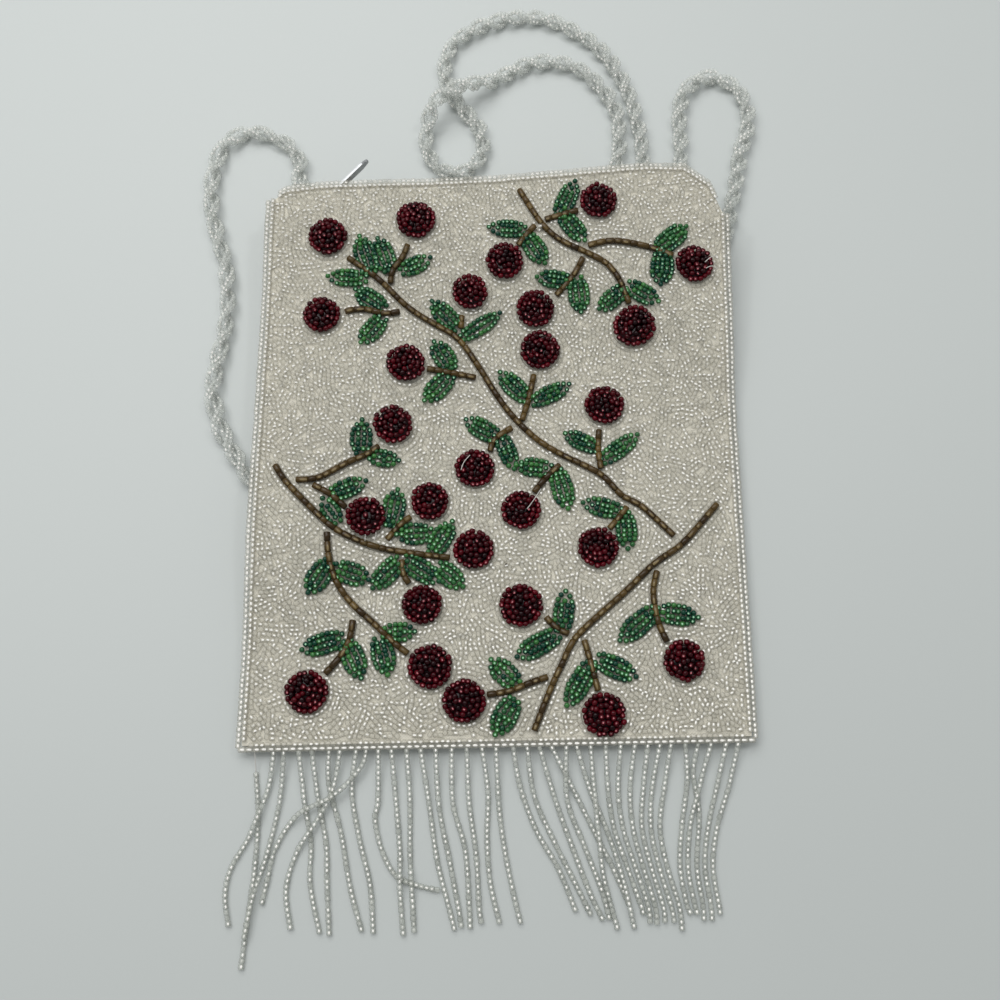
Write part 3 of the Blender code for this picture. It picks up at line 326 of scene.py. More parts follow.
class BagColours(bpy.types.PropertyGroup):
    """Colours of the beads, cloth and metal."""
    clear_dark: colour_setting("Clear bead, dark", "Darkest clear bead", (0.53, 0.515, 0.44))
    clear_light: colour_setting("Clear bead, light", "Lightest clear bead", (0.76, 0.74, 0.66))
    # The lining colours are painted highlights: each is laid in as the bright line down a bead's
    # middle, partly the lining's own colour and partly a painted glint.
    clear_line: colour_setting("Clear bead, lining", "Silver lining of a clear bead",
                               (1.0, 0.98, 0.93))
    # The strap's clear beads are painted lighter than the field's: painted light that offsets the
    # shade between the rope's strands.
    strap_dark: colour_setting("Strap bead, dark", "Darkest strap bead", (0.70, 0.73, 0.69))
    strap_light: colour_setting("Strap bead, light", "Lightest strap bead", (0.88, 0.90, 0.86))
    fringe_dark: colour_setting("Fringe bead, dark", "Darkest fringe bead", (0.48, 0.50, 0.45))
    fringe_light: colour_setting("Fringe bead, light", "Lightest fringe bead",
                                 (0.70, 0.72, 0.66))
    leaf_dark: colour_setting("Leaf bead, dark", "Darkest leaf bead", (0.001, 0.042, 0.024))
    leaf_light: colour_setting("Leaf bead, light", "Lightest leaf bead", (0.047, 0.178, 0.042))
    # Painted highlight of a leaf bead, partly the colour of its lining.
    leaf_line: colour_setting("Leaf bead, lining", "Lining of a leaf bead", (0.36, 0.66, 0.42))
    berry_dark: colour_setting("Berry bead, dark", "Darkest berry bead", (0.008, 0.0, 0.001))
    berry_light: colour_setting("Berry bead, light", "Lightest berry bead", (0.095, 0.001, 0.006))
    # Painted highlight of a berry bead, partly the colour of its lining.
    berry_line: colour_setting("Berry bead, lining", "Lining of a berry bead",
                               (0.50, 0.16, 0.18))
    twig_dark: colour_setting("Twig bead, dark", "Darkest twig bead", (0.030, 0.016, 0.004))
    twig_light: colour_setting("Twig bead, light", "Lightest twig bead", (0.125, 0.078, 0.022))
    # Painted highlight of a twig bead, partly the colour of its lining.
    twig_line: colour_setting("Twig bead, lining", "Lining of a twig bead", (0.22, 0.165, 0.08))
    cloth: colour_setting("Cloth", "Cloth of the panels", (0.74, 0.71, 0.61))
    lining: colour_setting("Lining", "Lining cloth", (0.66, 0.63, 0.57))
    tape: colour_setting("Zip tape", "Woven tape of the zip", (0.50, 0.48, 0.44))
    metal: colour_setting("Zip metal", "Metal of the zip", (0.42, 0.43, 0.44))
    thread: colour_setting("Thread", "Bead thread", (0.62, 0.61, 0.57))


class BagStage(bpy.types.PropertyGroup):
    """Floor, lamps and camera."""
    floor: colour_setting("Floor", "Colour of the floor", (0.512, 0.540, 0.528))
    lens: bpy.props.FloatProperty(name="Lens", description="Focal length", default=38.99,
                                  subtype="DISTANCE_CAMERA", unit="CAMERA")
    main_lamp: bpy.props.FloatProperty(name="Main lamp", description="Power of the main lamp",
                                       default=9.0, subtype="POWER", unit="POWER")
    small_lamp: bpy.props.FloatProperty(name="Small lamps", description="Power of a small lamp",
                                        default=0.9, subtype="POWER", unit="POWER")


def sizes():
    """The sizes set for this scene."""
    return bpy.context.scene.bag_sizes


def colours():
    """The colours set for this scene."""
    return bpy.context.scene.bag_colours


# Curves and the chart

def smooth_path(points, step):
    """Points a step apart on the smooth curve through some points, with its ends."""
    points = np.asarray(points, float)
    padded = np.vstack([points[:1], points, points[-1:]])
    share = np.linspace(0.0, 1.0, 25)[:-1, None]
    pieces = []
    for before, start, end, after in zip(padded, padded[1:], padded[2:], padded[3:]):
        out = (end - before) / 2
        into = (after - start) / 2
        square, cube = share ** 2, share ** 3
        pieces.append(start * (2 * cube - 3 * square + 1) + out * (cube - 2 * square + share)
                      + end * (3 * square - 2 * cube) + into * (cube - square))
    dense = np.vstack([*pieces, points[-1:]])
    return space_out(dense, step)


def space_out(dense, step, start=0.0):
    """Points a step apart along a dense row of points."""
    reach = np.concatenate([[0.0], np.cumsum(np.linalg.norm(np.diff(dense, axis=0), axis=1))])
    count = max(int(round((reach[-1] - start) / step)), 1)
    wanted = np.linspace(start, reach[-1], count + 1)
    return np.stack([np.interp(wanted, reach, dense[:, axis])
                     for axis in range(dense.shape[1])], axis=1)


def row_length(points):
    """The length of a row of points."""
    return float(np.linalg.norm(np.diff(points, axis=0), axis=1).sum())


def directions(points):
    """Unit directions along a row of points."""
    along = np.gradient(points, axis=0)
    return along / np.maximum(np.linalg.norm(along, axis=1, keepdims=True), 1e-12)


def ease(share):
    """Rises smoothly from 0 to 1."""
    return 0.5 - 0.5 * np.cos(np.pi * np.clip(share, 0.0, 1.0))


def on_chart(spots, height):
    """The points of the bag that the chart shows, at heights above the table."""
    spots = np.asarray(spots, float)
    tilt_sin, tilt_cos = math.sin(CHART_TILT), math.cos(CHART_TILT)
    right = (spots[..., 0] - CHART_MIDDLE) / CHART_FOCAL
    up = (CHART_MIDDLE - spots[..., 1]) / CHART_FOCAL
    sight_y = tilt_sin + up * tilt_cos
    sight_z = -tilt_cos + up * tilt_sin
    eye_y, eye_z = -tilt_sin * CHART_DISTANCE, tilt_cos * CHART_DISTANCE
    reach = (height - eye_z) / sight_z
    x = right * reach - CHART_ORIGIN[0]
    y = eye_y + sight_y * reach - CHART_ORIGIN[1]
    return np.stack([x, y, np.broadcast_to(height, x.shape)], axis=-1)


# The cloth's surfaces

def bottom_edge(x):
    """The y of the bottom edge at x."""
    return np.interp(x, (LEFT_EDGE, RIGHT_EDGE), (BOTTOM_LEFT, BOTTOM_RIGHT))


def top_edge(x):
    """The y of the mouth's edge at x."""
    return np.interp(x, TOP_STATIONS, TOP_EDGE)


def front_lip(x):
    """The y of the front's own edge at the mouth, drawn back as the front rises there."""
    return top_edge(x) - FRONT_LIP_BACK


class Surface:
    """A smooth height over the bag, taken from the upper or lower face of one of its solids."""

    def __init__(self, node, upper=True, step=0.0025, blur=2.2):
        """Samples the solid's face and evens out its creases."""
        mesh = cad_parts[node].data
        tree = BVHTree.FromPolygons([v.co for v in mesh.vertices],
                                    [list(p.vertices) for p in mesh.polygons])
        self.xs = np.arange(LEFT_EDGE - step, RIGHT_EDGE + 2 * step, step)
        self.ys = np.arange(BOTTOM_LEFT - step, max(TOP_EDGE) + 2 * step, step)
        start, way = (0.05, -1.0) if upper else (-0.05, 1.0)
        high = np.full((len(self.xs), len(self.ys)), np.nan)
        for i, x in enumerate(self.xs):
            for j, y in enumerate(self.ys):
                hit = tree.ray_cast(Vector((x, y, start)), Vector((0, 0, way)))[0]
                if hit:
                    high[i, j] = hit.z
        self.high = smooth_grid(fill_grid(high), blur)

    def height(self, x, y):
        """The height at x, y."""
        return grid_value(self.xs, self.ys, self.high, x, y)

    def normal(self, x, y):
        """The unit direction away from the surface at x, y."""
        reach = 0.002
        slope_x = (self.height(x + reach, y) - self.height(x - reach, y)) / (2 * reach)
        slope_y = (self.height(x, y + reach) - self.height(x, y - reach)) / (2 * reach)
        away = np.stack([-slope_x, -slope_y, np.ones_like(slope_x)], axis=-1)
        return away / np.linalg.norm(away, axis=-1, keepdims=True)

    def under(self, spots, above=0.0):
        """The points of this surface that the chart shows."""
        point = on_chart(spots, MOUTH_LEVEL)
        for _ in range(6):
            point = on_chart(spots, self.height(point[..., 0], point[..., 1]) + above)
        return point


def fill_grid(grid):
    """Spreads the known values of a grid into its empty cells."""
    while np.isnan(grid).any():
        padded = np.pad(grid, 1, constant_values=np.nan)
        around = np.stack([padded[:-2, 1:-1], padded[2:, 1:-1], padded[1:-1, :-2],
                           padded[1:-1, 2:]])
        known = ~np.isnan(around)
        total = np.where(known, around, 0.0).sum(axis=0)
        count = known.sum(axis=0)
        empty = np.isnan(grid) & (count > 0)
        grid[empty] = total[empty] / count[empty]
    return grid


def smooth_grid(grid, spread):
    """Blurs a grid by a spread in cells."""
    reach = int(3 * spread)
    weights = np.exp(-0.5 * (np.arange(-reach, reach + 1) / spread) ** 2)
    weights /= weights.sum()
    for axis in (0, 1):
        padding = [(reach, reach) if axis == side else (0, 0) for side in (0, 1)]
        padded = np.pad(grid, padding, mode="reflect", reflect_type="odd")
        grid = np.apply_along_axis(lambda row: np.convolve(row, weights, "valid"), axis, padded)
    return grid


def grid_value(xs, ys, grid, x, y):
    """The value of a grid between its cells."""
    step = xs[1] - xs[0]
    i = np.clip((np.asarray(x) - xs[0]) / step, 0, len(xs) - 1.001)
    j = np.clip((np.asarray(y) - ys[0]) / step, 0, len(ys) - 1.001)
    left, low = i.astype(int), j.astype(int)
    u, v = i - left, j - low
    return (grid[left, low] * (1 - u) * (1 - v) + grid[left + 1, low] * u * (1 - v)
            + grid[left, low + 1] * (1 - u) * v + grid[left + 1, low + 1] * u * v)


def front():
    """The smooth outer face of the beaded front."""
    if "front" not in layout:
        layout["front"] = Surface("front_panel")
    return layout["front"]


# Meshes

def add_mesh(name, points, counts, corners, material):
    """A smooth shaded mesh piece from flat arrays of points, face sizes and face corners."""
    mesh = bpy.data.meshes.new(name)
    mesh.vertices.add(len(points))
    mesh.vertices.foreach_set("co", np.asarray(points, np.float32).ravel())
    mesh.loops.add(len(corners))
    mesh.loops.foreach_set("vertex_index", np.asarray(corners, np.int32))
    mesh.polygons.add(len(counts))
    starts = np.concatenate([[0], np.cumsum(counts)[:-1]])
    mesh.polygons.foreach_set("loop_start", starts.astype(np.int32))
    mesh.update(calc_edges=True)
    mesh.shade_smooth()
    mesh.materials.append(material)
    piece = bpy.data.objects.new(name, mesh)
    bpy.context.collection.objects.link(piece)
    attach(piece, BODY)
    return piece


def ring_faces(rings, sides):
    """The faces of a closed row of rings: its sides, then both ends."""
    faces = []
    for low in range(0, (rings - 1) * sides, sides):
        for side in range(sides):
            other = (side + 1) % sides
            faces.append((low + side, low + other, low + sides + other, low + sides + side))
    last = (rings - 1) * sides
    return faces + [tuple(reversed(range(sides))), tuple(range(last, last + sides))]


def bead_shape(sides, profile):
    """A bead of unit length along x and unit half width: its points and faces."""
    angles = np.arange(sides) * math.tau / sides
    points = [(along, wide * math.cos(angle), wide * math.sin(angle))
              for along, wide in profile for angle in angles]
    return np.array(points), ring_faces(len(profile), sides)


SEED_PROFILE = ((-0.5, 0.64), (-0.42, 0.96), (0.0, 1.0), (0.42, 0.96), (0.5, 0.64))
ROUND_PROFILE = ((-0.5, 0.45), (-0.34, 0.86), (0.0, 1.02), (0.34, 0.86), (0.5, 0.45))
TUBE_PROFILE = ((-0.5, 0.72), (-0.44, 1.0), (0.44, 1.0), (0.5, 0.72))
SEED = bead_shape(6, SEED_PROFILE)


class Beads:
    """Beads gathered for one piece: middle, direction, upward side, length, width and tone."""

    def __init__(self):
        """Starts with no beads."""
        self.rows = []

    def add(self, middles, along, upward, long, wide, tones):
        """Adds beads; numbers may stand for all of them."""
        middles = np.atleast_2d(np.asarray(middles, float))
        count = len(middles)
        row = np.empty((count, 12))
        row[:, 0:3] = middles
        row[:, 3:6] = along
        row[:, 6:9] = upward
        row[:, 9] = long
        row[:, 10] = wide
        row[:, 11] = tones
        self.rows.append(row)

    def all(self):
        """All the beads as one array."""
        return np.vstack(self.rows)

    def piece(self, name, material, slot, shape=SEED, rows=None):
        """Turns the beads into one mesh piece."""
        rows = self.all() if rows is None else rows
        template, faces = shape
        along = rows[:, 3:6] / np.linalg.norm(rows[:, 3:6], axis=1, keepdims=True)
        upward = rows[:, 6:9]
        across = np.cross(upward, along)
        across /= np.maximum(np.linalg.norm(across, axis=1, keepdims=True), 1e-9)
        upward = np.cross(along, across)
        long, half = rows[:, 9:10], rows[:, 10:11] / 2
        points = (rows[:, None, 0:3]
                  + template[None, :, 0:1] * (along * long)[:, None, :]
                  + template[None, :, 1:2] * (across * half)[:, None, :]
                  + template[None, :, 2:3] * (upward * half)[:, None, :])
        corners = np.concatenate([np.array(face) for face in faces])
        counts = np.array([len(face) for face in faces])
        steps = np.arange(len(rows))[:, None] * len(template)
        piece = add_mesh(name, points.reshape(-1, 3), np.tile(counts, len(rows)),
                         (corners[None, :] + steps).ravel(), material)
        tone = piece.data.attributes.new("tone", "FLOAT", "POINT")
        tone.data.foreach_set("value", np.repeat(rows[:, 11], len(template)).astype(np.float32))
        return piece


def tube(name, path, wide, material, sides=6):
    """A thin thread along a row of points."""
    along = directions(path)
    across = np.cross(along, (0.0, 0.0, 1.0))
    across /= np.maximum(np.linalg.norm(across, axis=1, keepdims=True), 1e-9)
    upward = np.cross(across, along)
    angles = np.arange(sides) * math.tau / sides
    rings = (path[:, None, :] + wide / 2 * (np.cos(angles)[None, :, None] * across[:, None, :]
             + np.sin(angles)[None, :, None] * upward[:, None, :]))
    points = rings.reshape(-1, 3)
    faces = ring_faces(len(path), sides)
    corners = np.concatenate([np.array(face) for face in faces])
    return add_mesh(name, points, [len(face) for face in faces], corners, material)


# Shared shader effects

def group_socket(group, name, kind, way, value=None):
    """One named input or output of a node group."""
    socket = group.interface.new_socket(name=name, in_out=way, socket_type=f"NodeSocket{kind}")
    if value is not None:
        socket.default_value = value
    return socket


def new_group(name, inputs, outputs):
    """A shader node group with its input and output nodes."""
    group = bpy.data.node_groups.new(name, "ShaderNodeTree")
    for label, kind, value in inputs:
        group_socket(group, label, kind, "INPUT", value)
    for label, kind in outputs:
        group_socket(group, label, kind, "OUTPUT")
    return group, group.nodes.new("NodeGroupInput"), group.nodes.new("NodeGroupOutput")


def math_node(tree, operation, first, second=None):
    """A math node on two values or sockets."""
    node = tree.nodes.new("ShaderNodeMath")
    node.operation = operation
    for number, value in enumerate((first, second)):
        if value is None:
            continue
        if isinstance(value, bpy.types.NodeSocket):
            tree.links.new(value, node.inputs[number])
        else:
            node.inputs[number].default_value = value
    return node.outputs[0]


def mix_colours(tree, share, first, second):
    """A colour between two colour sockets or values."""
    node = tree.nodes.new("ShaderNodeMix")
    node.data_type = "RGBA"
    for value, socket in ((share, node.inputs[0]), (first, node.inputs[6]), (second, node.inputs[7])):
        if isinstance(value, bpy.types.NodeSocket):
            tree.links.new(value, socket)
        else:
            socket.default_value = value
    return node.outputs[2]


def noise_node(tree, scale, detail=2.0, rough=0.5):
    """A noise value over the object's own coordinates."""
    place = tree.nodes.new("ShaderNodeTexCoord")
    noise = tree.nodes.new("ShaderNodeTexNoise")
    tree.links.new(place.outputs["Object"], noise.inputs["Vector"])
    noise.inputs["Scale"].default_value = scale
    noise.inputs["Detail"].default_value = detail
    noise.inputs["Roughness"].default_value = rough
    return noise.outputs["Fac"]


def bead_tone_group():
    """Each bead's own colour and gloss: between two colours by its tone, with faint cloudiness."""
    if "bead tone" in bpy.data.node_groups:
        return bpy.data.node_groups["bead tone"]
    group, entry, exit_node = new_group(
        "bead tone",
        (("Dark", "Color", None), ("Light", "Color", None), ("Clouding", "Float", 0.3),
         ("Gloss", "Float", 0.12), ("Dull Share", "Float", 0.3)),
        (("Color", "Color"), ("Roughness", "Float"), ("Spark", "Float")))
    tone = group.nodes.new("ShaderNodeAttribute")
    tone.attribute_name = "tone"
    cloud = math_node(group, "SUBTRACT", noise_node(group, 260.0, 3.0), 0.5)
    cloud = math_node(group, "MULTIPLY", cloud, entry.outputs["Clouding"])
    share = math_node(group, "ADD", tone.outputs["Fac"], cloud)
    share.node.use_clamp = True
    colour = mix_colours(group, share, entry.outputs["Dark"], entry.outputs["Light"])
    group.links.new(colour, exit_node.inputs["Color"])
    rough = math_node(group, "MULTIPLY", noise_node(group, 900.0), 0.12)
    rough = math_node(group, "ADD", rough, entry.outputs["Gloss"])
    group.links.new(rough, exit_node.inputs["Roughness"])
    # Spark: how strongly each bead, picked by its tone, takes the painted highlight of its glass;
    # beads below the dull share take none.
    luck = math_node(group, "FRACT", math_node(group, "MULTIPLY", tone.outputs["Fac"], 37.0))
    over = math_node(group, "SUBTRACT", luck, entry.outputs["Dull Share"])
    rest = math_node(group, "SUBTRACT", 1.0, entry.outputs["Dull Share"])
    spark = math_node(group, "MULTIPLY", math_node(group, "DIVIDE", over, rest), 2.0)
    spark.node.use_clamp = True
    group.links.new(spark, exit_node.inputs["Spark"])
    return group


def weave_group():
    """A plain weave: its height, and its colour with painted shade between the threads and faint
    stains.
    """
    if "weave" in bpy.data.node_groups:
        return bpy.data.node_groups["weave"]
    group, entry, exit_node = new_group(
        "weave",
        (("Color", "Color", None), ("Threads", "Float", 2200.0), ("Depth", "Float", 0.35)),
        (("Color", "Color"), ("Height", "Float"), ("Roughness", "Float")))
    place = group.nodes.new("ShaderNodeTexCoord")
    parts = group.nodes.new("ShaderNodeSeparateXYZ")
    group.links.new(place.outputs["Object"], parts.inputs[0])
    waves = []
    for axis in ("X", "Y"):
        turn = math_node(group, "MULTIPLY", parts.outputs[axis], entry.outputs["Threads"])
        waves.append(math_node(group, "SINE", math_node(group, "MULTIPLY", turn, math.pi)))
    over = math_node(group, "MULTIPLY", waves[0], waves[1])
    height = math_node(group, "MULTIPLY", math_node(group, "ADD", over, 1.0), 0.5)
    group.links.new(height, exit_node.inputs["Height"])
    # Painted shade: the hollows between the threads are darkened, together with random stains.
    painted_thread_shade = math_node(group, "MULTIPLY", math_node(group, "SUBTRACT", 1.0, height),
                       entry.outputs["Depth"])
    stain = math_node(group, "MULTIPLY", noise_node(group, 40.0, 4.0), 0.35)
    shade = math_node(group, "ADD", painted_thread_shade, stain)
    shade.node.use_clamp = True
    darker = mix_colours(group, 0.55, entry.outputs["Color"], (0.12, 0.10, 0.08, 1.0))
    group.links.new(mix_colours(group, shade, entry.outputs["Color"], darker),
                    exit_node.inputs["Color"])
    rough = math_node(group, "ADD", math_node(group, "MULTIPLY", height, -0.15), 0.9)
    group.links.new(rough, exit_node.inputs["Roughness"])
    return group


def new_material(name):
    """A new material, its node tree and its shader."""
    material = bpy.data.materials.new(name)
    material.use_nodes = True
    return material, material.node_tree, material.node_tree.nodes["Principled BSDF"]


def place_group(tree, group, values):
    """Puts a node group in a material with its own values."""
    node = tree.nodes.new("ShaderNodeGroup")
    node.node_tree = group
    for name, value in values.items():
        node.inputs[name].default_value = value
    return node


def glass(kind):
    """Glass beads with a tone each, with a painted highlight along the middle where the bead faces the
    camera, partly the colour of its lined hole, and painted shade round its rim.
    """
    name = f"{kind} beads"
    if name in bpy.data.materials:
        return bpy.data.materials[name]
    tint, lining, body, narrow, dull, clouding, gloss, edge, mirror = GLASS[kind]
    dark = getattr(colours(), f"{tint}_dark")
    light = getattr(colours(), f"{tint}_light")
    line = getattr(colours(), f"{lining}_line")
    material, tree, shader = new_material(name)
    tone = place_group(tree, bead_tone_group(),
                       {"Dark": (*dark, 1.0), "Light": (*light, 1.0), "Clouding": clouding,
                        "Gloss": gloss, "Dull Share": dull})
    # Painted highlight: the lining colour is laid in as a bright line where the surface faces the
    # camera, partly the lining's own colour and partly a painted glint.
    facing = tree.nodes.new("ShaderNodeLayerWeight")
    facing.inputs["Blend"].default_value = 0.5
    middle = math_node(tree, "SUBTRACT", 1.25, math_node(tree, "DIVIDE", facing.outputs["Facing"],
                                                         narrow))
    middle = math_node(tree, "MULTIPLY", middle, 3.0)
    middle.node.use_clamp = True
    painted_glint = math_node(tree, "MULTIPLY", middle, tone.outputs["Spark"])
    # Painted shade: where the surface turns away from the camera, the colour darkens towards the dark
    # tint times the rim's lightness, standing in for the glass's dark edges.
    rim = math_node(tree, "MULTIPLY", math_node(tree, "SUBTRACT", facing.outputs["Facing"], 0.55), 1.6)
    rim.node.use_clamp = True
    colour = mix_colours(tree, rim, tone.outputs["Color"],
                         (*[value * edge for value in dark], 1.0))
    tree.links.new(mix_colours(tree, painted_glint, colour, (*line, 1.0)), shader.inputs["Base Color"])
    tree.links.new(tone.outputs["Roughness"], shader.inputs["Roughness"])
    if body < 1.0:
        solid = math_node(tree, "MULTIPLY", math_node(tree, "MAXIMUM", painted_glint, rim), 1.0 - body)
        tree.links.new(math_node(tree, "ADD", solid, body), shader.inputs["Alpha"])
    shader.inputs["IOR"].default_value = 1.52
    shader.inputs["Specular IOR Level"].default_value = mirror
    return material


def cloth_material(name, colour, threads=2200.0, depth=0.35, bump=0.25):
    """Plain woven cloth."""
    if name in bpy.data.materials:
        return bpy.data.materials[name]
    material, tree, shader = new_material(name)
    weave = place_group(tree, weave_group(),
                        {"Color": (*colour, 1.0), "Threads": threads, "Depth": depth})
    tree.links.new(weave.outputs["Color"], shader.inputs["Base Color"])
    tree.links.new(weave.outputs["Roughness"], shader.inputs["Roughness"])
    lump = tree.nodes.new("ShaderNodeBump")
    lump.inputs["Strength"].default_value = bump
    lump.inputs["Distance"].default_value = 0.0002
    tree.links.new(weave.outputs["Height"], lump.inputs["Height"])
    tree.links.new(lump.outputs["Normal"], shader.inputs["Normal"])
    shader.inputs["Sheen Weight"].default_value = 0.2
    return material


def thread_material():
    """Waxed bead thread."""
    return cloth_material("thread", colours().thread, threads=6000.0, depth=0.2, bump=0.1)


# Motif layout

def motif():
    """Lays out the berries, leaves, twigs and their outline rows once."""
    if "motif" not in layout:
        layout["motif"] = lay_out_motif()
    return layout["motif"]


def berry_places():
    """Middle and radius of each berry."""
    spots = np.array([(x, y) for x, y, _ in BERRIES], float)
    reach = np.array([size for _, _, size in BERRIES], float)
    middles = front().under(spots)
    sides = front().under(spots + np.stack([reach, np.zeros_like(reach)], axis=1))
    return middles, np.linalg.norm(sides - middles, axis=1)


def leaf_path(tip, foot, half, fraction, start=0.0, end=1.0):
    """A row of the leaf at a fraction of its half width, from tip to foot."""
    share = np.linspace(start, end, 40)[:, None]
    along = foot - tip
    across = np.array((-along[1], along[0])) / np.linalg.norm(along)
    wide = np.interp(share[:, 0], LEAF_SHARES, LEAF_WIDTHS)[:, None]
    return tip + along * share + across * half * wide * fraction


def lay_out_motif():
    """Every motif bead in plan: berries, leaves and twigs, and the clear rows round them."""
    wide = sizes().motif_wide
    rng = np.random.default_rng(7)
    middles, radii = berry_places()
    berries = []
    for middle, radius in zip(middles, radii):
        rings = []
        reach = radius - wide * 0.40
        level = 0
        while reach > 0:
            if reach < wide * 0.45:
                reach = wide * 0.05
            count = max(int(math.tau * reach / (wide * 0.95)), 1)
            turn = rng.random() * math.tau
            angle = turn + np.arange(count) * math.tau / count
            rings.append((level, reach, angle))
            reach -= wide * (FIRST_RING_STEP if level == 0 else RING_STEP)
            level += 1
        berries.append((middle[:2], radius, rings))
    leaves = {name: [] for name in LEAVES}
    for name, group in LEAVES.items():
        for tip_x, tip_y, foot_x, foot_y, leaf_wide in group:
            tip, foot, side = front().under(
                ((tip_x, tip_y), (foot_x, foot_y), (foot_x + leaf_wide / 2, foot_y)))[:, :2]
            leaves[name].append((tip, foot, LEAF_FULLNESS * np.linalg.norm(side - foot)))
    stems = {name: [smooth_path(front().under(stem)[:, :2], 0.0006)
                    for stem in group] for name, group in TWIGS.items()}
    return {"berries": berries, "leaves": leaves, "stems": stems}


def leaf_spots(tip, foot, half, wide):
    """Middles and directions of one leaf's beads, and how near its middle line each is."""
    long = np.linalg.norm(foot - tip)
    axis = (foot - tip) / long
    across = np.array((-axis[1], axis[0]))
    spots, ways, inner = [], [], []
    stations = max(int(round(long / (wide * 0.93))), 3)
    for share in np.linspace(0.0, 1.0, stations + 1):
        room = half * float(np.interp(share, LEAF_SHARES, LEAF_WIDTHS))
        ahead = half * float(np.interp(min(share + 0.05, 1.0), LEAF_SHARES, LEAF_WIDTHS))
        slope = (ahead - room) / (0.05 * long)
        count = max(int(2 * room / wide + 0.35), 1)
        reach = max(room - wide * 0.45, 0.0)
        for side in (np.linspace(-1.0, 1.0, count) if count > 1 else (0.0,)):
            spots.append(tip + axis * share * long + across * side * reach)
            ways.append(axis + across * side * slope)
            inner.append(1.0 - abs(side))
    return np.array(spots), np.array(ways), np.array(inner)


def random_tilt(rng, along, amount):
    """Directions turned a little out of line."""
    turned = along + rng.normal(0.0, amount, along.shape)
    return turned / np.linalg.norm(turned, axis=1, keepdims=True)


def lift_points(plan, above):
    """Plan points raised to a height above the beaded front."""
    high = front().height(plan[:, 0], plan[:, 1]) + above
    return np.column_stack([plan, high])


def build_berry(number, berry, rng):
    """One domed berry of dark red beads."""
    wide = sizes().motif_wide
    middle, radius, rings = berry
    beads = Beads()
    for level, reach, angles in rings:
        plan = middle + reach * np.column_stack([np.cos(angles), np.sin(angles)])
        plan += rng.normal(0.0, wide * 0.08, plan.shape)
        share = reach / radius
        dome = BERRY_HIGH * math.sqrt(max(1.0 - share ** 2, 0.0)) + 0.05 * MILLIMETRE
        spots = lift_points(plan, dome - 0.1 * MILLIMETRE + rng.normal(0.0, wide * 0.06, len(plan)))
        tangent = np.column_stack([-np.sin(angles), np.cos(angles), np.zeros(len(angles))])
        outward = np.column_stack([np.cos(angles) * share, np.sin(angles) * share,
                                   np.full(len(angles), 1.1 - share * 0.5)])
        along = random_tilt(rng, tangent, 0.2 + 0.18 * level)
        # Painted light and shade: the outer ring is lighter, standing in for light through its glass,
        # and each inner ring is darker towards the dome's middle.
        tones = np.clip(rng.beta(1.6, 2.4, len(plan)) + (0.18 if level == 0 else -0.08 * level), 0, 1)
        beads.add(spots, along, outward, wide * 0.98, wide * rng.normal(1.0, 0.04, len(plan)), tones)
    lower = lift_points(middle[None], np.zeros(1))
    beads.add(lower, (0, 0, 1), (1, 0, 0), BERRY_CORE_HIGH, 1.86 * radius, 0.0)
    piece = beads.piece(f"berry_beads_{number + 1:02d}", glass("berry"), "berry_beads",
                        bead_shape(7, ROUND_PROFILE))
    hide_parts(f"berry_{number + 1:02d}")


def build_leaves(name, rng, beads):
    """The leaves of one sprig."""
    wide = sizes().leaf_wide
    for tip, foot, half in motif()["leaves"][name]:
        hue = rng.uniform(0.2, 0.55)
        plan, ways, inner = leaf_spots(tip, foot, half, wide)
        plan = plan + rng.normal(0.0, wide * 0.04, plan.shape)
        high = (0.22 + 0.55 * np.minimum(inner, 0.7)) * MILLIMETRE
        spots = lift_points(plan, high + rng.normal(0.0, wide * 0.04, len(plan)))
        along = np.column_stack([ways, np.zeros(len(ways))])
        along /= np.linalg.norm(along, axis=1, keepdims=True)
        tones = np.clip(rng.normal(hue, 0.28, len(plan)), 0, 1)
        beads.add(spots, random_tilt(rng, along, 0.12), (0, 0, 1), wide * 0.95,
                  wide * rng.normal(1.07, 0.04, len(plan)), tones)


def build_twigs(name, rng, beads):
    """The tube beads of one sprig's stems."""
    long, wide = sizes().tube_long, sizes().tube_wide
    for number, stem in enumerate(motif()["stems"][name]):
        whole = row_length(stem)
        count = max(int(round(whole / long)), 1)
        cuts = np.linspace(0.0, 1.0, count + 1)[1:-1] + rng.normal(0.0, 0.12 / count, count - 1)
        marks = np.concatenate([[0.0], cuts, [1.0]]) * whole
        reach = np.concatenate([[0.0], np.cumsum(np.linalg.norm(np.diff(stem, axis=0), axis=1))])
        ends = np.column_stack([np.interp(marks, reach, stem[:, axis]) for axis in (0, 1)])
        spots = lift_points(ends, 0.30 * MILLIMETRE + 0.06 * MILLIMETRE * (number > 0))
        middles = (spots[:-1] + spots[1:]) / 2
        along = spots[1:] - spots[:-1]
        lengths = np.linalg.norm(along, axis=1)
        tones = np.clip(rng.normal(0.32, 0.2, count), 0, 1)
        beads.add(middles, along / lengths[:, None], (0, 0, 1), lengths, wide, tones)


# Stage

def add_lamp(name, place, target, size, power):
    """A soft square lamp turned to a target."""
    lamp = bpy.data.lights.new(name, "AREA")
    lamp.shape = "SQUARE"
    lamp.size = size
    lamp.energy = power
    item = bpy.data.objects.new(name, lamp)
    item.location = place
    item.rotation_euler = (Vector(target) - Vector(place)).to_track_quat("-Z", "Y").to_euler()
    bpy.context.collection.objects.link(item)
    return item


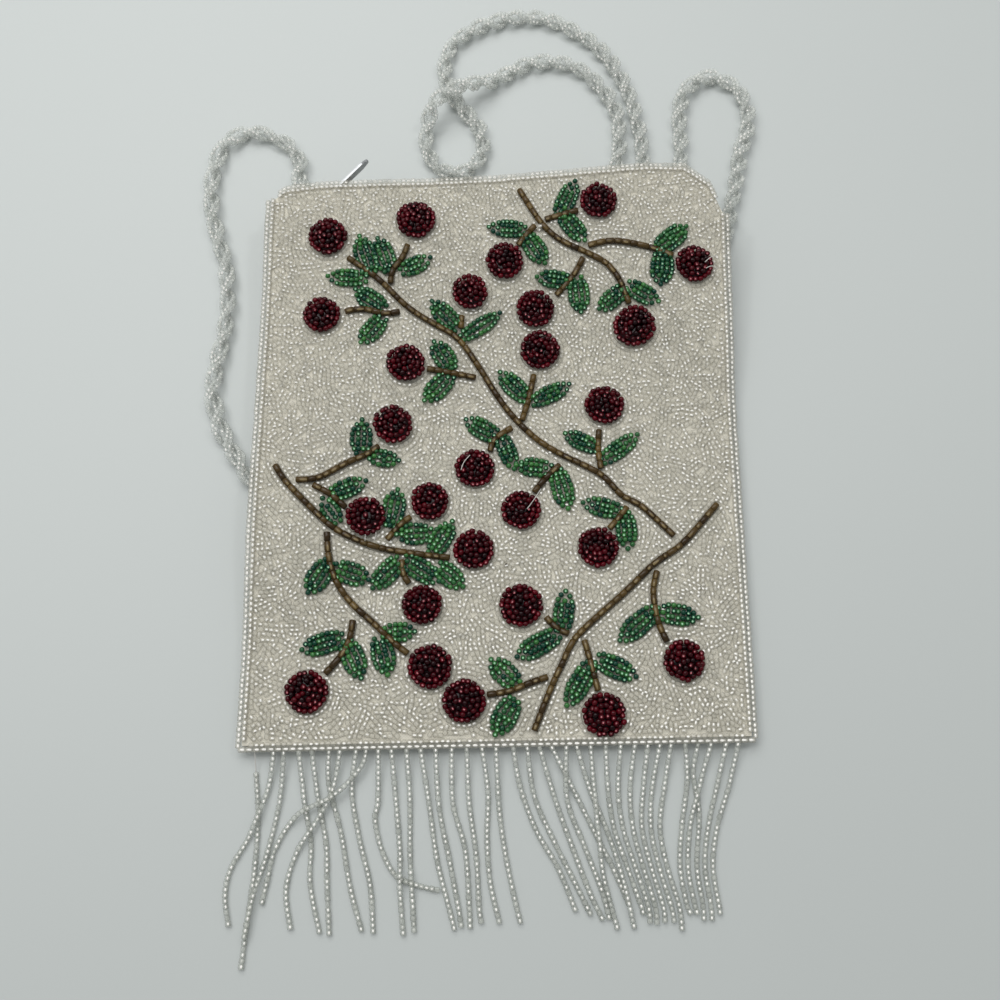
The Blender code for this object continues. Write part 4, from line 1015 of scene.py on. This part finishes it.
def build_camera():
    """The camera that sees the bag as the chart does."""
    data = bpy.data.cameras.new("camera")
    data.sensor_width = 36.0
    data.lens = bpy.context.scene.bag_stage.lens
    camera = bpy.data.objects.new("camera", data)
    camera.location = (-CHART_ORIGIN[0],
                       -math.sin(CHART_TILT) * CHART_DISTANCE - CHART_ORIGIN[1],
                       math.cos(CHART_TILT) * CHART_DISTANCE)
    camera.rotation_euler = (CHART_TILT, 0.0, 0.0)
    bpy.context.collection.objects.link(camera)
    bpy.context.scene.camera = camera


def build_floor():
    """A wide pale floor."""
    half = 2.5
    points = [(-half, -half, -0.0001), (half, -half, -0.0001), (half, half, -0.0001),
              (-half, half, -0.0001)]
    mesh = bpy.data.meshes.new("floor")
    mesh.from_pydata(points, [], [(0, 1, 2, 3)])
    material, tree, shader = new_material("floor")
    shade = mix_colours(tree, noise_node(tree, 3.0), (*bpy.context.scene.bag_stage.floor, 1.0),
                        (*[value * 0.97 for value in bpy.context.scene.bag_stage.floor], 1.0))
    tree.links.new(shade, shader.inputs["Base Color"])
    shader.inputs["Roughness"].default_value = 0.55
    mesh.materials.append(material)
    floor = bpy.data.objects.new("floor", mesh)
    bpy.context.collection.objects.link(floor)


def build_lights():
    """Soft light from above and behind, and small lamps for the beads' glints."""
    stage = bpy.context.scene.bag_stage
    add_lamp("main lamp", (-0.25, 0.55, 0.95), (0, 0, 0), 0.9, stage.main_lamp)
    add_lamp("left lamp", (-0.55, 0.1, 0.75), (0, 0, 0), 0.10, stage.small_lamp)
    add_lamp("right lamp", (0.45, 0.35, 0.85), (0, 0, 0), 0.10, stage.small_lamp)
    world = bpy.data.worlds.new("world")
    world.use_nodes = True
    world.node_tree.nodes["Background"].inputs["Color"].default_value = (0.96, 0.98, 0.98, 1.0)
    world.node_tree.nodes["Background"].inputs["Strength"].default_value = 0.40
    bpy.context.scene.world = world
    bpy.context.scene.view_settings.view_transform = "Standard"


# Strap

def strap_route():
    """The middle line of the strap, from corner to corner."""
    level = STRAP_DIAMETER / 2
    sewn = level + 2 * GAP
    left, middle, right, crossing = (on_chart(row, level) for row in
                                     (STRAP_LEFT, STRAP_MIDDLE, STRAP_RIGHT, STRAP_CROSSING))
    near = 1.0 - np.linalg.norm(middle - crossing, axis=1) / (STRAP_DIAMETER * 3.4)
    first = np.arange(len(middle)) < len(middle) // 2
    middle[:, 2] += np.where(first, (STRAP_DIAMETER + 2 * GAP) * ease(near * 1.6), 0.0)
    hidden = [[(x, y, level) for x, y in row] for row in (UNDER_LEFT, UNDER_RIGHT)]
    return np.vstack([[(*ROOT_LEFT, sewn)], left, hidden[0], middle, hidden[1], right,
                      [(*ROOT_RIGHT, sewn)]])


def build_strap():
    """A loose rope of two pairs of bead strands laid round a fifth one."""
    rng = np.random.default_rng(11)
    bead = sizes().strap_bead
    path = smooth_path(strap_route(), 0.0005)
    along = directions(path)
    side = np.cross(along, (0.0, 0.0, 1.0))
    side /= np.linalg.norm(side, axis=1, keepdims=True)
    upward = np.cross(side, along)
    reach = np.linspace(0.0, row_length(path), len(path))
    loose = np.sin(reach * 95.0 + 2.0 * np.sin(reach * 31.0))
    pitch = np.interp(reach / reach[-1], *ROPE_PITCH)
    turn = np.concatenate([[0.0], np.cumsum(np.diff(reach) / pitch[1:])])
    turn = turn * math.tau / sizes().strap_twist
    sag = STRAP_DIAMETER / 2 - bead / 2 - ROPE_REACH * ROPE_FLAT
    beads = Beads()
    for strand, (pair, apart, out) in enumerate(ROPE_STRANDS):
        phase = turn + math.tau * pair + apart + 0.20 * np.sin(reach * 130.0 + pair * 5.0)
        wide = ROPE_REACH * out * (1.0 + 0.06 * loose + 0.09 * np.sin(reach * 230.0 + strand * 2.1))
        line = path + (np.sin(phase) * wide)[:, None] * side
        line = line + (np.cos(phase) * wide * ROPE_FLAT - sag)[:, None] * upward
        line[:, 2] = np.maximum(line[:, 2], bead * 0.5)
        spots = space_out(line, bead * BEAD_GAP)
        tones = rng.beta(2.0, 2.0, len(spots))
        beads.add(spots, directions(spots), (0, 0, 1), bead * 0.96,
                  bead * rng.normal(1.0, 0.04, len(spots)), tones)
    piece = beads.piece("strap_rope", glass("strap"), "strap_beads")
    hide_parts("strap")


# Cloth

def build_sheet(name, node, material, columns=60, rows=74, upper=True, inset=0.0,
                thick=None, drop=0.0, lip=top_edge):
    """A closed sheet of cloth over the bag's outline, on one of its solids' faces."""
    surface = Surface(node, upper) if node != "front_panel" else front()
    u = np.linspace(0.0, 1.0, columns)
    v = np.linspace(0.0, 1.0, rows)
    x = LEFT_EDGE + inset + (RIGHT_EDGE - LEFT_EDGE - 2 * inset) * u
    low = bottom_edge(x) + inset
    high = lip(x) - inset
    grid_x = np.repeat(x[:, None], rows, axis=1)
    grid_y = low[:, None] + (high - low)[:, None] * v[None, :]
    top = surface.height(grid_x, grid_y) - drop
    under = top - thick
    faces = []
    layers = columns * rows

    def at(i, j, side):
        """The number of a grid point."""
        return side * layers + i * rows + j

    for i in range(columns - 1):
        for j in range(rows - 1):
            faces.append((at(i, j, 0), at(i + 1, j, 0), at(i + 1, j + 1, 0), at(i, j + 1, 0)))
            faces.append((at(i, j + 1, 1), at(i + 1, j + 1, 1), at(i + 1, j, 1), at(i, j, 1)))
    rim = [(i, 0) for i in range(columns)]
    rim += [(columns - 1, j) for j in range(1, rows)]
    rim += [(i, rows - 1) for i in range(columns - 2, -1, -1)]
    rim += [(0, j) for j in range(rows - 2, 0, -1)]
    for here, there in zip(rim, rim[1:] + rim[:1]):
        faces.append((at(*here, 0), at(*here, 1), at(*there, 1), at(*there, 0)))
    points = np.vstack([np.column_stack([grid_x.ravel(), grid_y.ravel(), level.ravel()])
                        for level in (top, under)])
    corners = np.concatenate([np.array(face) for face in faces])
    piece = add_mesh(name, points, [4] * len(faces), corners, material)
    piece.data.set_sharp_from_angle(angle=math.radians(50))
    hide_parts(node)
    return piece


# Field, edges and fringe

def edge_rows():
    """The rows of larger beads: plan points and height above the front."""
    out = GAP + sizes().edge_wide / 2
    inside = SECOND_ROW_IN
    left_low, left_high = bottom_edge(LEFT_EDGE), front_lip(LEFT_EDGE)
    right_low, right_high = bottom_edge(RIGHT_EDGE), front_lip(RIGHT_EDGE)
    return {
        "edge_beads_left": (((LEFT_EDGE - out, left_low), (LEFT_EDGE - out, left_high)), -SIDE_SINK),
        "edge_beads_right": (((RIGHT_EDGE + out, right_low), (RIGHT_EDGE + out, right_high)),
                             -SIDE_SINK),
        "edge_beads_mouth_front": (np.column_stack([LIP_XS, front_lip(LIP_XS) + out]), -LIP_SINK),
        "second_left": (((LEFT_EDGE + inside, left_low + 0.002), (LEFT_EDGE + inside, left_high)),
                        -SECOND_SINK),
        "second_right": (((RIGHT_EDGE - inside, right_low + 0.002),
                          (RIGHT_EDGE - inside, right_high)), -SECOND_SINK),
        "second_mouth": (np.column_stack([LIP_XS, front_lip(LIP_XS) - inside]), -SECOND_SINK),
        "second_bottom": (np.column_stack([LIP_XS, bottom_edge(LIP_XS) + 0.0001]), -BOTTOM_SINK),
    }


def build_edges():
    """The rows of larger beads round the front, and on the back lip of the mouth."""
    rng = np.random.default_rng(5)
    long, wide = sizes().edge_long, sizes().edge_wide
    taken = []
    seconds, inner = Beads(), Beads()
    for name, (plan, above) in edge_rows().items():
        plan = space_out(np.asarray(plan, float), long)
        spots = lift_points(plan, above)
        taken.append(plan)
        along = directions(spots)
        tones = rng.beta(2.2, 1.8, len(plan))
        beads = Beads()
        if name.startswith("second"):
            beads = inner if name == "second_bottom" else seconds
        beads.add(spots + rng.normal(0.0, 0.00005, spots.shape), random_tilt(rng, along, 0.05),
                  (0, 0, 1), long * 0.97, wide * rng.normal(0.98, 0.03, len(plan)), tones)
        if not name.startswith("second"):
            kind = "clear" if name == "edge_beads_mouth_front" else "edge"
            piece = beads.piece(f"{name}_row", glass(kind), "edge_beads")
            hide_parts(name)
    seconds.piece("edge_second_rows", glass("edge"), "edge_beads")
    inner.piece("edge_inner_row", glass("clear"), "edge_beads")
    layout["edge_plan"] = np.vstack(taken)
    back = Surface("back_panel")
    plan = space_out(np.column_stack([LIP_XS, top_edge(LIP_XS) + GAP + wide / 2]), long)
    spots = np.column_stack([plan, back.height(plan[:, 0], plan[:, 1]) - BACK_THICK / 2])
    beads = Beads()
    beads.add(spots, directions(spots), (0, 0, 1), long * 0.97, wide * 0.98,
              rng.beta(2.2, 1.8, len(plan)))
    piece = beads.piece("edge_beads_mouth_back_row", glass("edge"), "edge_beads")
    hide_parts("edge_beads_mouth_back")


def plan_tree(spots):
    """A search tree over plan points."""
    tree = KDTree(len(spots))
    for number, spot in enumerate(spots):
        tree.insert((spot[0], spot[1], 0.0), number)
    tree.balance()
    return tree


def motif_plan():
    """Plan points that the motif covers."""
    spots = []
    for middle, _, rings in motif()["berries"]:
        for _, reach, angles in rings:
            spots.append(middle + reach * np.column_stack([np.cos(angles), np.sin(angles)]))
    for group in motif()["leaves"].values():
        for tip, foot, half in group:
            spots.append(leaf_spots(tip, foot, half, sizes().leaf_wide)[0])
    for group in motif()["stems"].values():
        for stem in group:
            spots.append(space_out(stem, sizes().motif_wide * 0.7))
    return np.vstack(spots)


def outline_plan(covered):
    """Plan points and directions of the clear rows that follow the outlines of a covered plan."""
    gap = (sizes().motif_wide + sizes().field_wide) / 2
    step = sizes().field_long
    paths = []
    for middle, radius, _ in motif()["berries"]:
        angles = np.linspace(0.0, math.tau, 90)
        reach = radius + sizes().field_wide * 0.5
        paths.append(middle + reach * np.column_stack([np.cos(angles), np.sin(angles)]))
    for group in motif()["leaves"].values():
        for tip, foot, half in group:
            away = (tip - foot) / np.linalg.norm(tip - foot)
            point = tip + away * gap * 0.9
            for side in (1.0, -1.0):
                share = (half + sizes().field_wide * 0.5) / half * side
                edge = leaf_path(tip, foot, half, share, 0.05)
                paths.append(np.vstack([point[None], edge]))
    for group in motif()["stems"].values():
        for stem in group:
            along = directions(stem)
            across = np.column_stack([-along[:, 1], along[:, 0]])
            reach = (sizes().tube_wide + sizes().field_wide) / 2
            for side in (1.0, -1.0):
                paths.append(stem + across * reach * side)
    covered = plan_tree(covered)
    kept, ways = [], []
    for path in paths:
        row = space_out(path, step)
        for spot, way in zip(row, directions(row)):
            if (covered.find((*spot, 0.0))[2] < gap * OUTLINE_CLEARANCE or not inside_field(spot)
                    or any((spot[0] - a) ** 2 + (spot[1] - b) ** 2 < (step * OUTLINE_CLEARANCE) ** 2
                           for a, b in kept)):
                continue
            kept.append((spot[0], spot[1]))
            ways.append(way)
    return np.array(kept), np.array(ways)


def inside_field(spot):
    """Whether a plan point lies inside the edge rows."""
    x, y = spot
    return (LEFT_EDGE + FIELD_MARGIN < x < RIGHT_EDGE - FIELD_MARGIN
            and bottom_edge(x) + FIELD_MARGIN < y < front_lip(x) - FIELD_MARGIN)


def build_field():
    """The field: short runs of clear beads stitched in all directions, packed round the motif."""
    rng = np.random.default_rng(3)
    long = sizes().field_long
    covered = motif_plan()
    outline, outline_ways = outline_plan(covered)
    fixed = np.vstack([covered, outline, layout["edge_plan"]])
    reach = np.concatenate([np.full(len(covered), MOTIF_REACH), np.full(len(outline), long),
                            np.full(len(layout["edge_plan"]), long * 0.96)])
    tree = plan_tree(fixed)
    runs = lay_out_runs(rng, tree, long)
    points, ways = settle_runs(runs, tree, reach, long)
    points, ways = fill_holes(rng, points, ways, fixed, long)
    wide = sizes().field_wide
    beads = Beads()
    for plan, way, spread in ((points, ways, 0.22), (outline, outline_ways, 0.08)):
        spots = lift_points(plan, rng.normal(-0.42, 0.07, len(plan)) * MILLIMETRE)
        away = front().normal(plan[:, 0], plan[:, 1])
        along = np.column_stack([way, rng.normal(0.0, 0.10, len(plan))])
        along = random_tilt(rng, along, spread * 0.4)
        tones = rng.beta(1.5, 1.7, len(plan))
        beads.add(spots, along, away, long * rng.normal(0.97, 0.05, len(plan)),
                  wide * rng.normal(1.0, 0.05, len(plan)), tones)
    rows = beads.all()
    third = (RIGHT_EDGE - LEFT_EDGE) / 3
    parts = np.clip(((rows[:, 0] - LEFT_EDGE) / third).astype(int), 0, 2)
    pieces = [beads.piece(f"field_beads_{name}", glass("clear"), "field_beads",
                          rows=rows[parts == number])
              for number, name in enumerate(("left", "middle", "right"))]
    layout["field"] = pieces


def lay_out_runs(rng, tree, long):
    """Short straight runs of beads over the field, clear of the motif's middle."""
    runs = []
    x = LEFT_EDGE
    cell = long * RUN_SPACING
    while x < RIGHT_EDGE:
        y = BOTTOM_LEFT
        while y < max(TOP_EDGE):
            middle = np.array((x, y)) + rng.uniform(0, cell, 2)
            swirl = 2.6 * math.sin(middle[0] * 170.0 + 2.0 * math.sin(middle[1] * 90.0))
            swirl += 2.2 * math.cos(middle[1] * 150.0 + 1.7 * math.sin(middle[0] * 110.0))
            angle = swirl + rng.normal(0.0, 0.5)
            way = np.array((math.cos(angle), math.sin(angle)))
            count = int(rng.choice(RUN_COUNTS))
            row = []
            for number in range(count):
                spot = middle + way * long * (number - (count - 1) / 2)
                if inside_field(spot) and tree.find((*spot, 0.0))[2] > long * MOTIF_CLEARANCE:
                    row.append(spot)
                elif row:
                    break
            if row:
                runs.append(np.array(row))
            y += cell
        x += cell
    return runs


def settle_runs(runs, still, reach, long):
    """Pushes the runs apart, and off what lies still, each run staying nearly straight."""
    points = np.vstack(runs)
    starts = np.cumsum([0] + [len(run) for run in runs])
    pairs = np.array([(a + k, a + k + 1) for a, b in zip(starts, starts[1:])
                      for k in range(b - a - 1)])
    trios = np.array([(a + k, a + k + 1, a + k + 2) for a, b in zip(starts, starts[1:])
                      for k in range(b - a - 2)])
    for _ in range(SETTLING_ROUNDS):
        tree = plan_tree(points)
        push = np.zeros_like(points)
        for number, spot in enumerate(points):
            here = (spot[0], spot[1], 0.0)
            for place, other, away in tree.find_range(here, long * BEAD_REACH):
                if other != number and away >= 1e-9:
                    strength = (long * BEAD_REACH - away) / away * BEAD_PUSH
                    push[number, 0] += (spot[0] - place[0]) * strength
                    push[number, 1] += (spot[1] - place[1]) * strength
            for place, other, away in still.find_range(here, long * FIXED_REACH):
                if 1e-9 <= away < reach[other]:
                    strength = (reach[other] - away) / away * FIXED_PUSH
                    push[number, 0] += (spot[0] - place[0]) * strength
                    push[number, 1] += (spot[1] - place[1]) * strength
        points = points + np.clip(push, -long * 0.5, long * 0.5)
        for _ in range(2):
            step = points[pairs[:, 1]] - points[pairs[:, 0]]
            size = np.maximum(np.linalg.norm(step, axis=1, keepdims=True), 1e-9)
            move = step / size * (size - long) * 0.3
            np.add.at(points, pairs[:, 0], move)
            np.add.at(points, pairs[:, 1], -move)
            middle = (points[trios[:, 0]] + points[trios[:, 2]]) / 2 - points[trios[:, 1]]
            np.add.at(points, trios[:, 1], middle * 0.25)
        points[:, 0] = np.clip(points[:, 0], LEFT_EDGE + RUN_MARGIN, RIGHT_EDGE - RUN_MARGIN)
        points[:, 1] = np.clip(points[:, 1], bottom_edge(points[:, 0]) + RUN_MARGIN,
                               front_lip(points[:, 0]) - RUN_MARGIN)
    ways = np.zeros_like(points)
    for a, b in zip(starts, starts[1:]):
        if b - a > 1:
            ways[a:b] = directions(points[a:b])
        else:
            ways[a] = (1.0, 0.0)
    kept = []
    tree = plan_tree(points)
    gone = set()
    for number, spot in enumerate(points):
        here = (spot[0], spot[1], 0.0)
        crowded = any(other != number and other not in gone and away < long * CROWDED
                      for _, other, away in tree.find_range(here, long * CROWDED))
        buried = any(away < reach[other] * 0.62
                     for _, other, away in still.find_range(here, long * 0.66))
        if crowded or buried:
            gone.add(number)
        else:
            kept.append(number)
    return points[kept], ways[kept]


def fill_holes(rng, points, ways, fixed, long):
    """Adds single beads where the cloth would show."""
    tree = plan_tree(np.vstack([points, fixed]))
    added = []
    step = long * HOLE_STEP
    for x in np.arange(LEFT_EDGE, RIGHT_EDGE, step):
        for y in np.arange(BOTTOM_LEFT, max(TOP_EDGE), step):
            if not inside_field((x, y)) or tree.find((x, y, 0.0))[2] < long * HOLE_REACH:
                continue
            if any((x - a) ** 2 + (y - b) ** 2 < (long * HOLE_APART) ** 2 for a, b in added[-60:]):
                continue
            added.append((x, y))
    extra = np.array(added).reshape(-1, 2)
    angles = rng.uniform(0, math.tau, len(extra))
    return (np.vstack([points, extra]),
            np.vstack([ways, np.column_stack([np.cos(angles), np.sin(angles)])]))


def build_fringe():
    """The strands of beads below the bottom edge, and the row they hang from."""
    rng = np.random.default_rng(9)
    wide = sizes().fringe_wide
    gap = wide * 0.98
    hem_y = GAP + sizes().edge_wide / 2
    xs = np.linspace(LEFT_EDGE, RIGHT_EDGE, 90)
    hem = space_out(np.column_stack([xs, bottom_edge(xs) - hem_y]), sizes().edge_long * HEM_STEP)
    high = front().height(hem[:, 0], hem[:, 1] + 0.001) - 0.0011
    spots = np.column_stack([hem, high])
    edge = Beads()
    edge.add(spots, directions(spots), (0, 0, 1), sizes().edge_long * HEM_BEAD, sizes().edge_wide,
             rng.beta(2.2, 1.8, len(hem)))
    hem_piece = edge.piece("hem_beads", glass("edge"), "edge_beads")
    beads = Beads()
    laid = np.zeros((0, 3))
    for number, stations in enumerate(FRINGE):
        row = on_chart(stations, wide / 2)
        root_x = row[0, 0]
        root_z = float(front().height(root_x, bottom_edge(root_x) + 0.001)) - 0.0013
        row[0] = (root_x, bottom_edge(root_x) - hem_y * STRAND_ROOT, root_z)
        path = smooth_path(row, 0.0004)
        first = SLID_LENGTH if number == SLID_STRAND else 0.0006
        line = space_out(path, gap, first)
        need = wide * STRAND_STACK
        if len(laid):
            for index, spot in enumerate(line):
                near = laid[np.linalg.norm(laid[:, :2] - spot[:2], axis=1) < wide * STRAND_CROSSING]
                if len(near):
                    line[index, 2] = max(line[index, 2], near[:, 2].max() + need * 0.92)
        raised = line[:, 2].copy()
        for index in range(len(line)):
            around = line[max(index - 2, 0):index + 3, 2]
            raised[index] = max(raised[index], around.max() - 0.35 * wide * (around.max() > wide))
        smooth = np.convolve(np.pad(raised, 1, mode="edge"), (0.25, 0.5, 0.25), "valid")
        line[:, 2] = np.maximum(smooth, wide / 2)
        laid = np.vstack([laid, line])
        beads.add(line, random_tilt(rng, directions(line), 0.05), (0, 0, 1), gap * 0.97,
                  wide * rng.normal(1.0, 0.05, len(line)), rng.beta(2.0, 2.0, len(line)))
        if number == SLID_STRAND:
            bare = smooth_path(np.vstack([path[:1] + (0, 0.001, 0), line[:3]]), 0.0006)
    strands = beads.piece("fringe_strands", glass("fringe"), "fringe_beads")
    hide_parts(*[f"fringe_{number}" for number in range(1, 10)])
    thread = tube("fringe_bare_thread", bare, sizes().thread, thread_material())
    layout["fringe"] = [hem_piece, strands, thread]


def build_wear():
    """Stray beads, loose thread ends and a speck, where the bag has them."""
    rng = np.random.default_rng(31)
    wide = sizes().field_wide
    stray = Beads()
    for spot, way in (((407, 674), (0.3, 1.0, 0.0)), ((594, 527), (1.0, 0.4, 0.0)),
                      ((540, 226), (1.0, 0.0, 0.2))):
        place = front().under([spot], 0.0006)
        stray.add(place, np.array([way]), (0, 0, 1), sizes().field_long, wide, 0.8)
    stray.piece("stray_beads", glass("clear"), "field_beads")
    threads = (((527, 509), (533, 501), (541, 489)), ((461, 470), (464, 462), (470, 455)),
               ((365, 541), (366, 533), (371, 529), (376, 533), (374, 541)),
               ((705, 262), (711, 257), (717, 256)), ((706, 268), (712, 266), (718, 269)))
    for number, row in enumerate(threads):
        high = 0.0030 if number in (0, 1, 3, 4) else 0.0016
        path = smooth_path(front().under(row, high), 0.0005)
        path[:, 2] += rng.normal(0.0, 0.00003, len(path))
        tube(f"loose_thread_{number + 1}", path, sizes().thread, thread_material())
    speck = Beads()
    speck.add(front().under([(506, 564)], 0.0004), (1.0, 0.3, 0.0), (0, 0, 1), 0.0006, 0.0005, 0.0)
    speck.piece("dark_speck", glass("twig"), "sprig_beads", bead_shape(6, ROUND_PROFILE))


# Zip

def metal_material():
    """Grey zip metal, brushed, with duller patches."""
    if "zip metal" in bpy.data.materials:
        return bpy.data.materials["zip metal"]
    material, tree, shader = new_material("zip metal")
    colour = (*colours().metal, 1.0)
    dull = (*[value * 0.6 for value in colours().metal], 1.0)
    tree.links.new(mix_colours(tree, noise_node(tree, 500.0, 4.0), colour, dull),
                   shader.inputs["Base Color"])
    rough = math_node(tree, "ADD", math_node(tree, "MULTIPLY", noise_node(tree, 900.0), 0.3), 0.22)
    tree.links.new(rough, shader.inputs["Roughness"])
    shader.inputs["Metallic"].default_value = 1.0
    return material


def tape_material():
    """Woven tape whose inner edge holds the metal teeth."""
    material, tree, shader = new_material("zip tape")
    weave = place_group(tree, weave_group(),
                        {"Color": (*colours().tape, 1.0), "Threads": 3000.0, "Depth": 0.4})
    place = tree.nodes.new("ShaderNodeTexCoord")
    parts = tree.nodes.new("ShaderNodeSeparateXYZ")
    tree.links.new(place.outputs["Object"], parts.inputs[0])
    away = math_node(tree, "ABSOLUTE", math_node(tree, "SUBTRACT", parts.outputs["Z"], MOUTH_LEVEL))
    teeth = math_node(tree, "LESS_THAN", away, TOOTH_REACH)
    metal = mix_colours(tree, noise_node(tree, 700.0), (*colours().metal, 1.0),
                        (*[value * 0.6 for value in colours().metal], 1.0))
    tree.links.new(mix_colours(tree, teeth, weave.outputs["Color"], metal),
                   shader.inputs["Base Color"])
    tree.links.new(teeth, shader.inputs["Metallic"])
    rough = math_node(tree, "SUBTRACT", weave.outputs["Roughness"],
                      math_node(tree, "MULTIPLY", teeth, 0.5))
    tree.links.new(rough, shader.inputs["Roughness"])
    return material


def dress_node(node, material):
    """Gives a solid that stays its finished material."""
    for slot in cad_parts[node].material_slots:
        slot.material = material


# Operators

class BAG_OT_stage(bpy.types.Operator):
    """Adds the camera, the floor and the lamps"""
    bl_idname = "bag.stage"
    bl_label = "Stage"

    def execute(self, context):
        """Builds the stage."""
        build_camera()
        build_floor()
        build_lights()
        return {"FINISHED"}


class BAG_OT_strap(bpy.types.Operator):
    """Twists the strap's rope of bead strands"""
    bl_idname = "bag.strap"
    bl_label = "Strap"

    def execute(self, context):
        """Builds the strap."""
        build_strap()
        return {"FINISHED"}


class BAG_OT_edges(bpy.types.Operator):
    """Strings the larger beads round the bag"""
    bl_idname = "bag.edges"
    bl_label = "Edge beads"

    def execute(self, context):
        """Builds the edge rows."""
        build_edges()
        return {"FINISHED"}


class BAG_OT_berries(bpy.types.Operator):
    """Domes the dark red berries"""
    bl_idname = "bag.berries"
    bl_label = "Berries"

    def execute(self, context):
        """Builds the berries."""
        rng = np.random.default_rng(21)
        for number, berry in enumerate(motif()["berries"]):
            build_berry(number, berry, rng)
        return {"FINISHED"}


class BAG_OT_sprigs(bpy.types.Operator):
    """Stitches the leaves and the twigs"""
    bl_idname = "bag.sprigs"
    bl_label = "Leaves and twigs"

    def execute(self, context):
        """Builds the sprigs."""
        rng = np.random.default_rng(22)
        for name in TWIGS:
            leaves, twigs = Beads(), Beads()
            build_leaves(name, rng, leaves)
            build_twigs(name, rng, twigs)
            piece = leaves.piece(f"leaf_beads_{name}", glass("leaf"), "sprig_beads",
                                 bead_shape(6, ROUND_PROFILE))
            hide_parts(f"sprig_{name}")
            twigs.piece(f"twig_beads_{name}", glass("twig"), "sprig_beads",
                        bead_shape(7, TUBE_PROFILE))
        return {"FINISHED"}


class BAG_OT_field(bpy.types.Operator):
    """Stitches the clear beads of the field"""
    bl_idname = "bag.field"
    bl_label = "Field beads"

    def execute(self, context):
        """Builds the field."""
        build_field()
        return {"FINISHED"}


class BAG_OT_fringe(bpy.types.Operator):
    """Hangs the fringe"""
    bl_idname = "bag.fringe"
    bl_label = "Fringe"

    def execute(self, context):
        """Builds the fringe."""
        build_fringe()
        return {"FINISHED"}


class BAG_OT_wear(bpy.types.Operator):
    """Leaves the stray beads and loose threads that the bag has"""
    bl_idname = "bag.wear"
    bl_label = "Wear"

    def execute(self, context):
        """Builds the wear."""
        build_wear()
        return {"FINISHED"}


class BAG_OT_cloth(bpy.types.Operator):
    """Cuts the panels and the linings"""
    bl_idname = "bag.cloth"
    bl_label = "Cloth"

    def execute(self, context):
        """Builds the cloth sheets."""
        cloth = cloth_material("panel cloth", colours().cloth)
        lining = cloth_material("lining cloth", colours().lining, threads=3000.0)
        panel = build_sheet("front_cloth", "front_panel", cloth, lip=front_lip,
                            thick=FRONT_CLOTH_THICK, drop=FRONT_CLOTH_DROP)
        back = build_sheet("back_cloth", "back_panel", cloth, thick=BACK_THICK)
        inner = [build_sheet(f"{node}_cloth", node, lining, columns=36, rows=46,
                             inset=LINING_INSET, thick=LINING_THICK)
                 for node in ("lining_back", "lining_front")]
        return {"FINISHED"}


class BAG_OT_zip(bpy.types.Operator):
    """Finishes the zip's tapes, teeth, slider and pull"""
    bl_idname = "bag.zip"
    bl_label = "Zip"

    def execute(self, context):
        """Dresses the zip."""
        metal = metal_material()
        tape = tape_material()
        for node in ("zip_slider", "zip_pull", "zip_stop_left", "zip_stop_right"):
            dress_node(node, metal)
        for node in ("zip_tape_front", "zip_tape_back"):
            dress_node(node, tape)
        return {"FINISHED"}


OPERATORS = (BAG_OT_stage, BAG_OT_strap, BAG_OT_edges, BAG_OT_berries, BAG_OT_sprigs,
             BAG_OT_field, BAG_OT_fringe, BAG_OT_wear, BAG_OT_cloth, BAG_OT_zip)


class BAG_PT_panel(bpy.types.Panel):
    """Lists the bag's settings and steps"""
    bl_idname = "BAG_PT_panel"
    bl_label = "Beaded bag"
    bl_space_type = "VIEW_3D"
    bl_region_type = "UI"
    bl_category = "Bag"

    def draw(self, context):
        """Draws the settings and a button for each step."""
        for group in (context.scene.bag_sizes, context.scene.bag_colours, context.scene.bag_stage):
            for name in group.__annotations__:
                self.layout.prop(group, name)
        for operator in OPERATORS:
            self.layout.operator(operator.bl_idname)


CLASSES = (BagSizes, BagColours, BagStage, *OPERATORS, BAG_PT_panel)


def register():
    """Adds the classes and the scene's settings."""
    for item in CLASSES:
        bpy.utils.register_class(item)
    bpy.types.Scene.bag_sizes = bpy.props.PointerProperty(type=BagSizes)
    bpy.types.Scene.bag_colours = bpy.props.PointerProperty(type=BagColours)
    bpy.types.Scene.bag_stage = bpy.props.PointerProperty(type=BagStage)


def unregister():
    """Removes the settings and the classes."""
    del bpy.types.Scene.bag_stage
    del bpy.types.Scene.bag_colours
    del bpy.types.Scene.bag_sizes
    for item in reversed(CLASSES):
        bpy.utils.unregister_class(item)


def main():
    """Runs every step in order."""
    register()
    bpy.ops.bag.stage()
    bpy.ops.bag.strap()
    bpy.ops.bag.edges()
    bpy.ops.bag.berries()
    bpy.ops.bag.sprigs()
    bpy.ops.bag.field()
    bpy.ops.bag.fringe()
    bpy.ops.bag.wear()
    bpy.ops.bag.cloth()
    bpy.ops.bag.zip()


if __name__ == "__main__":
    main()
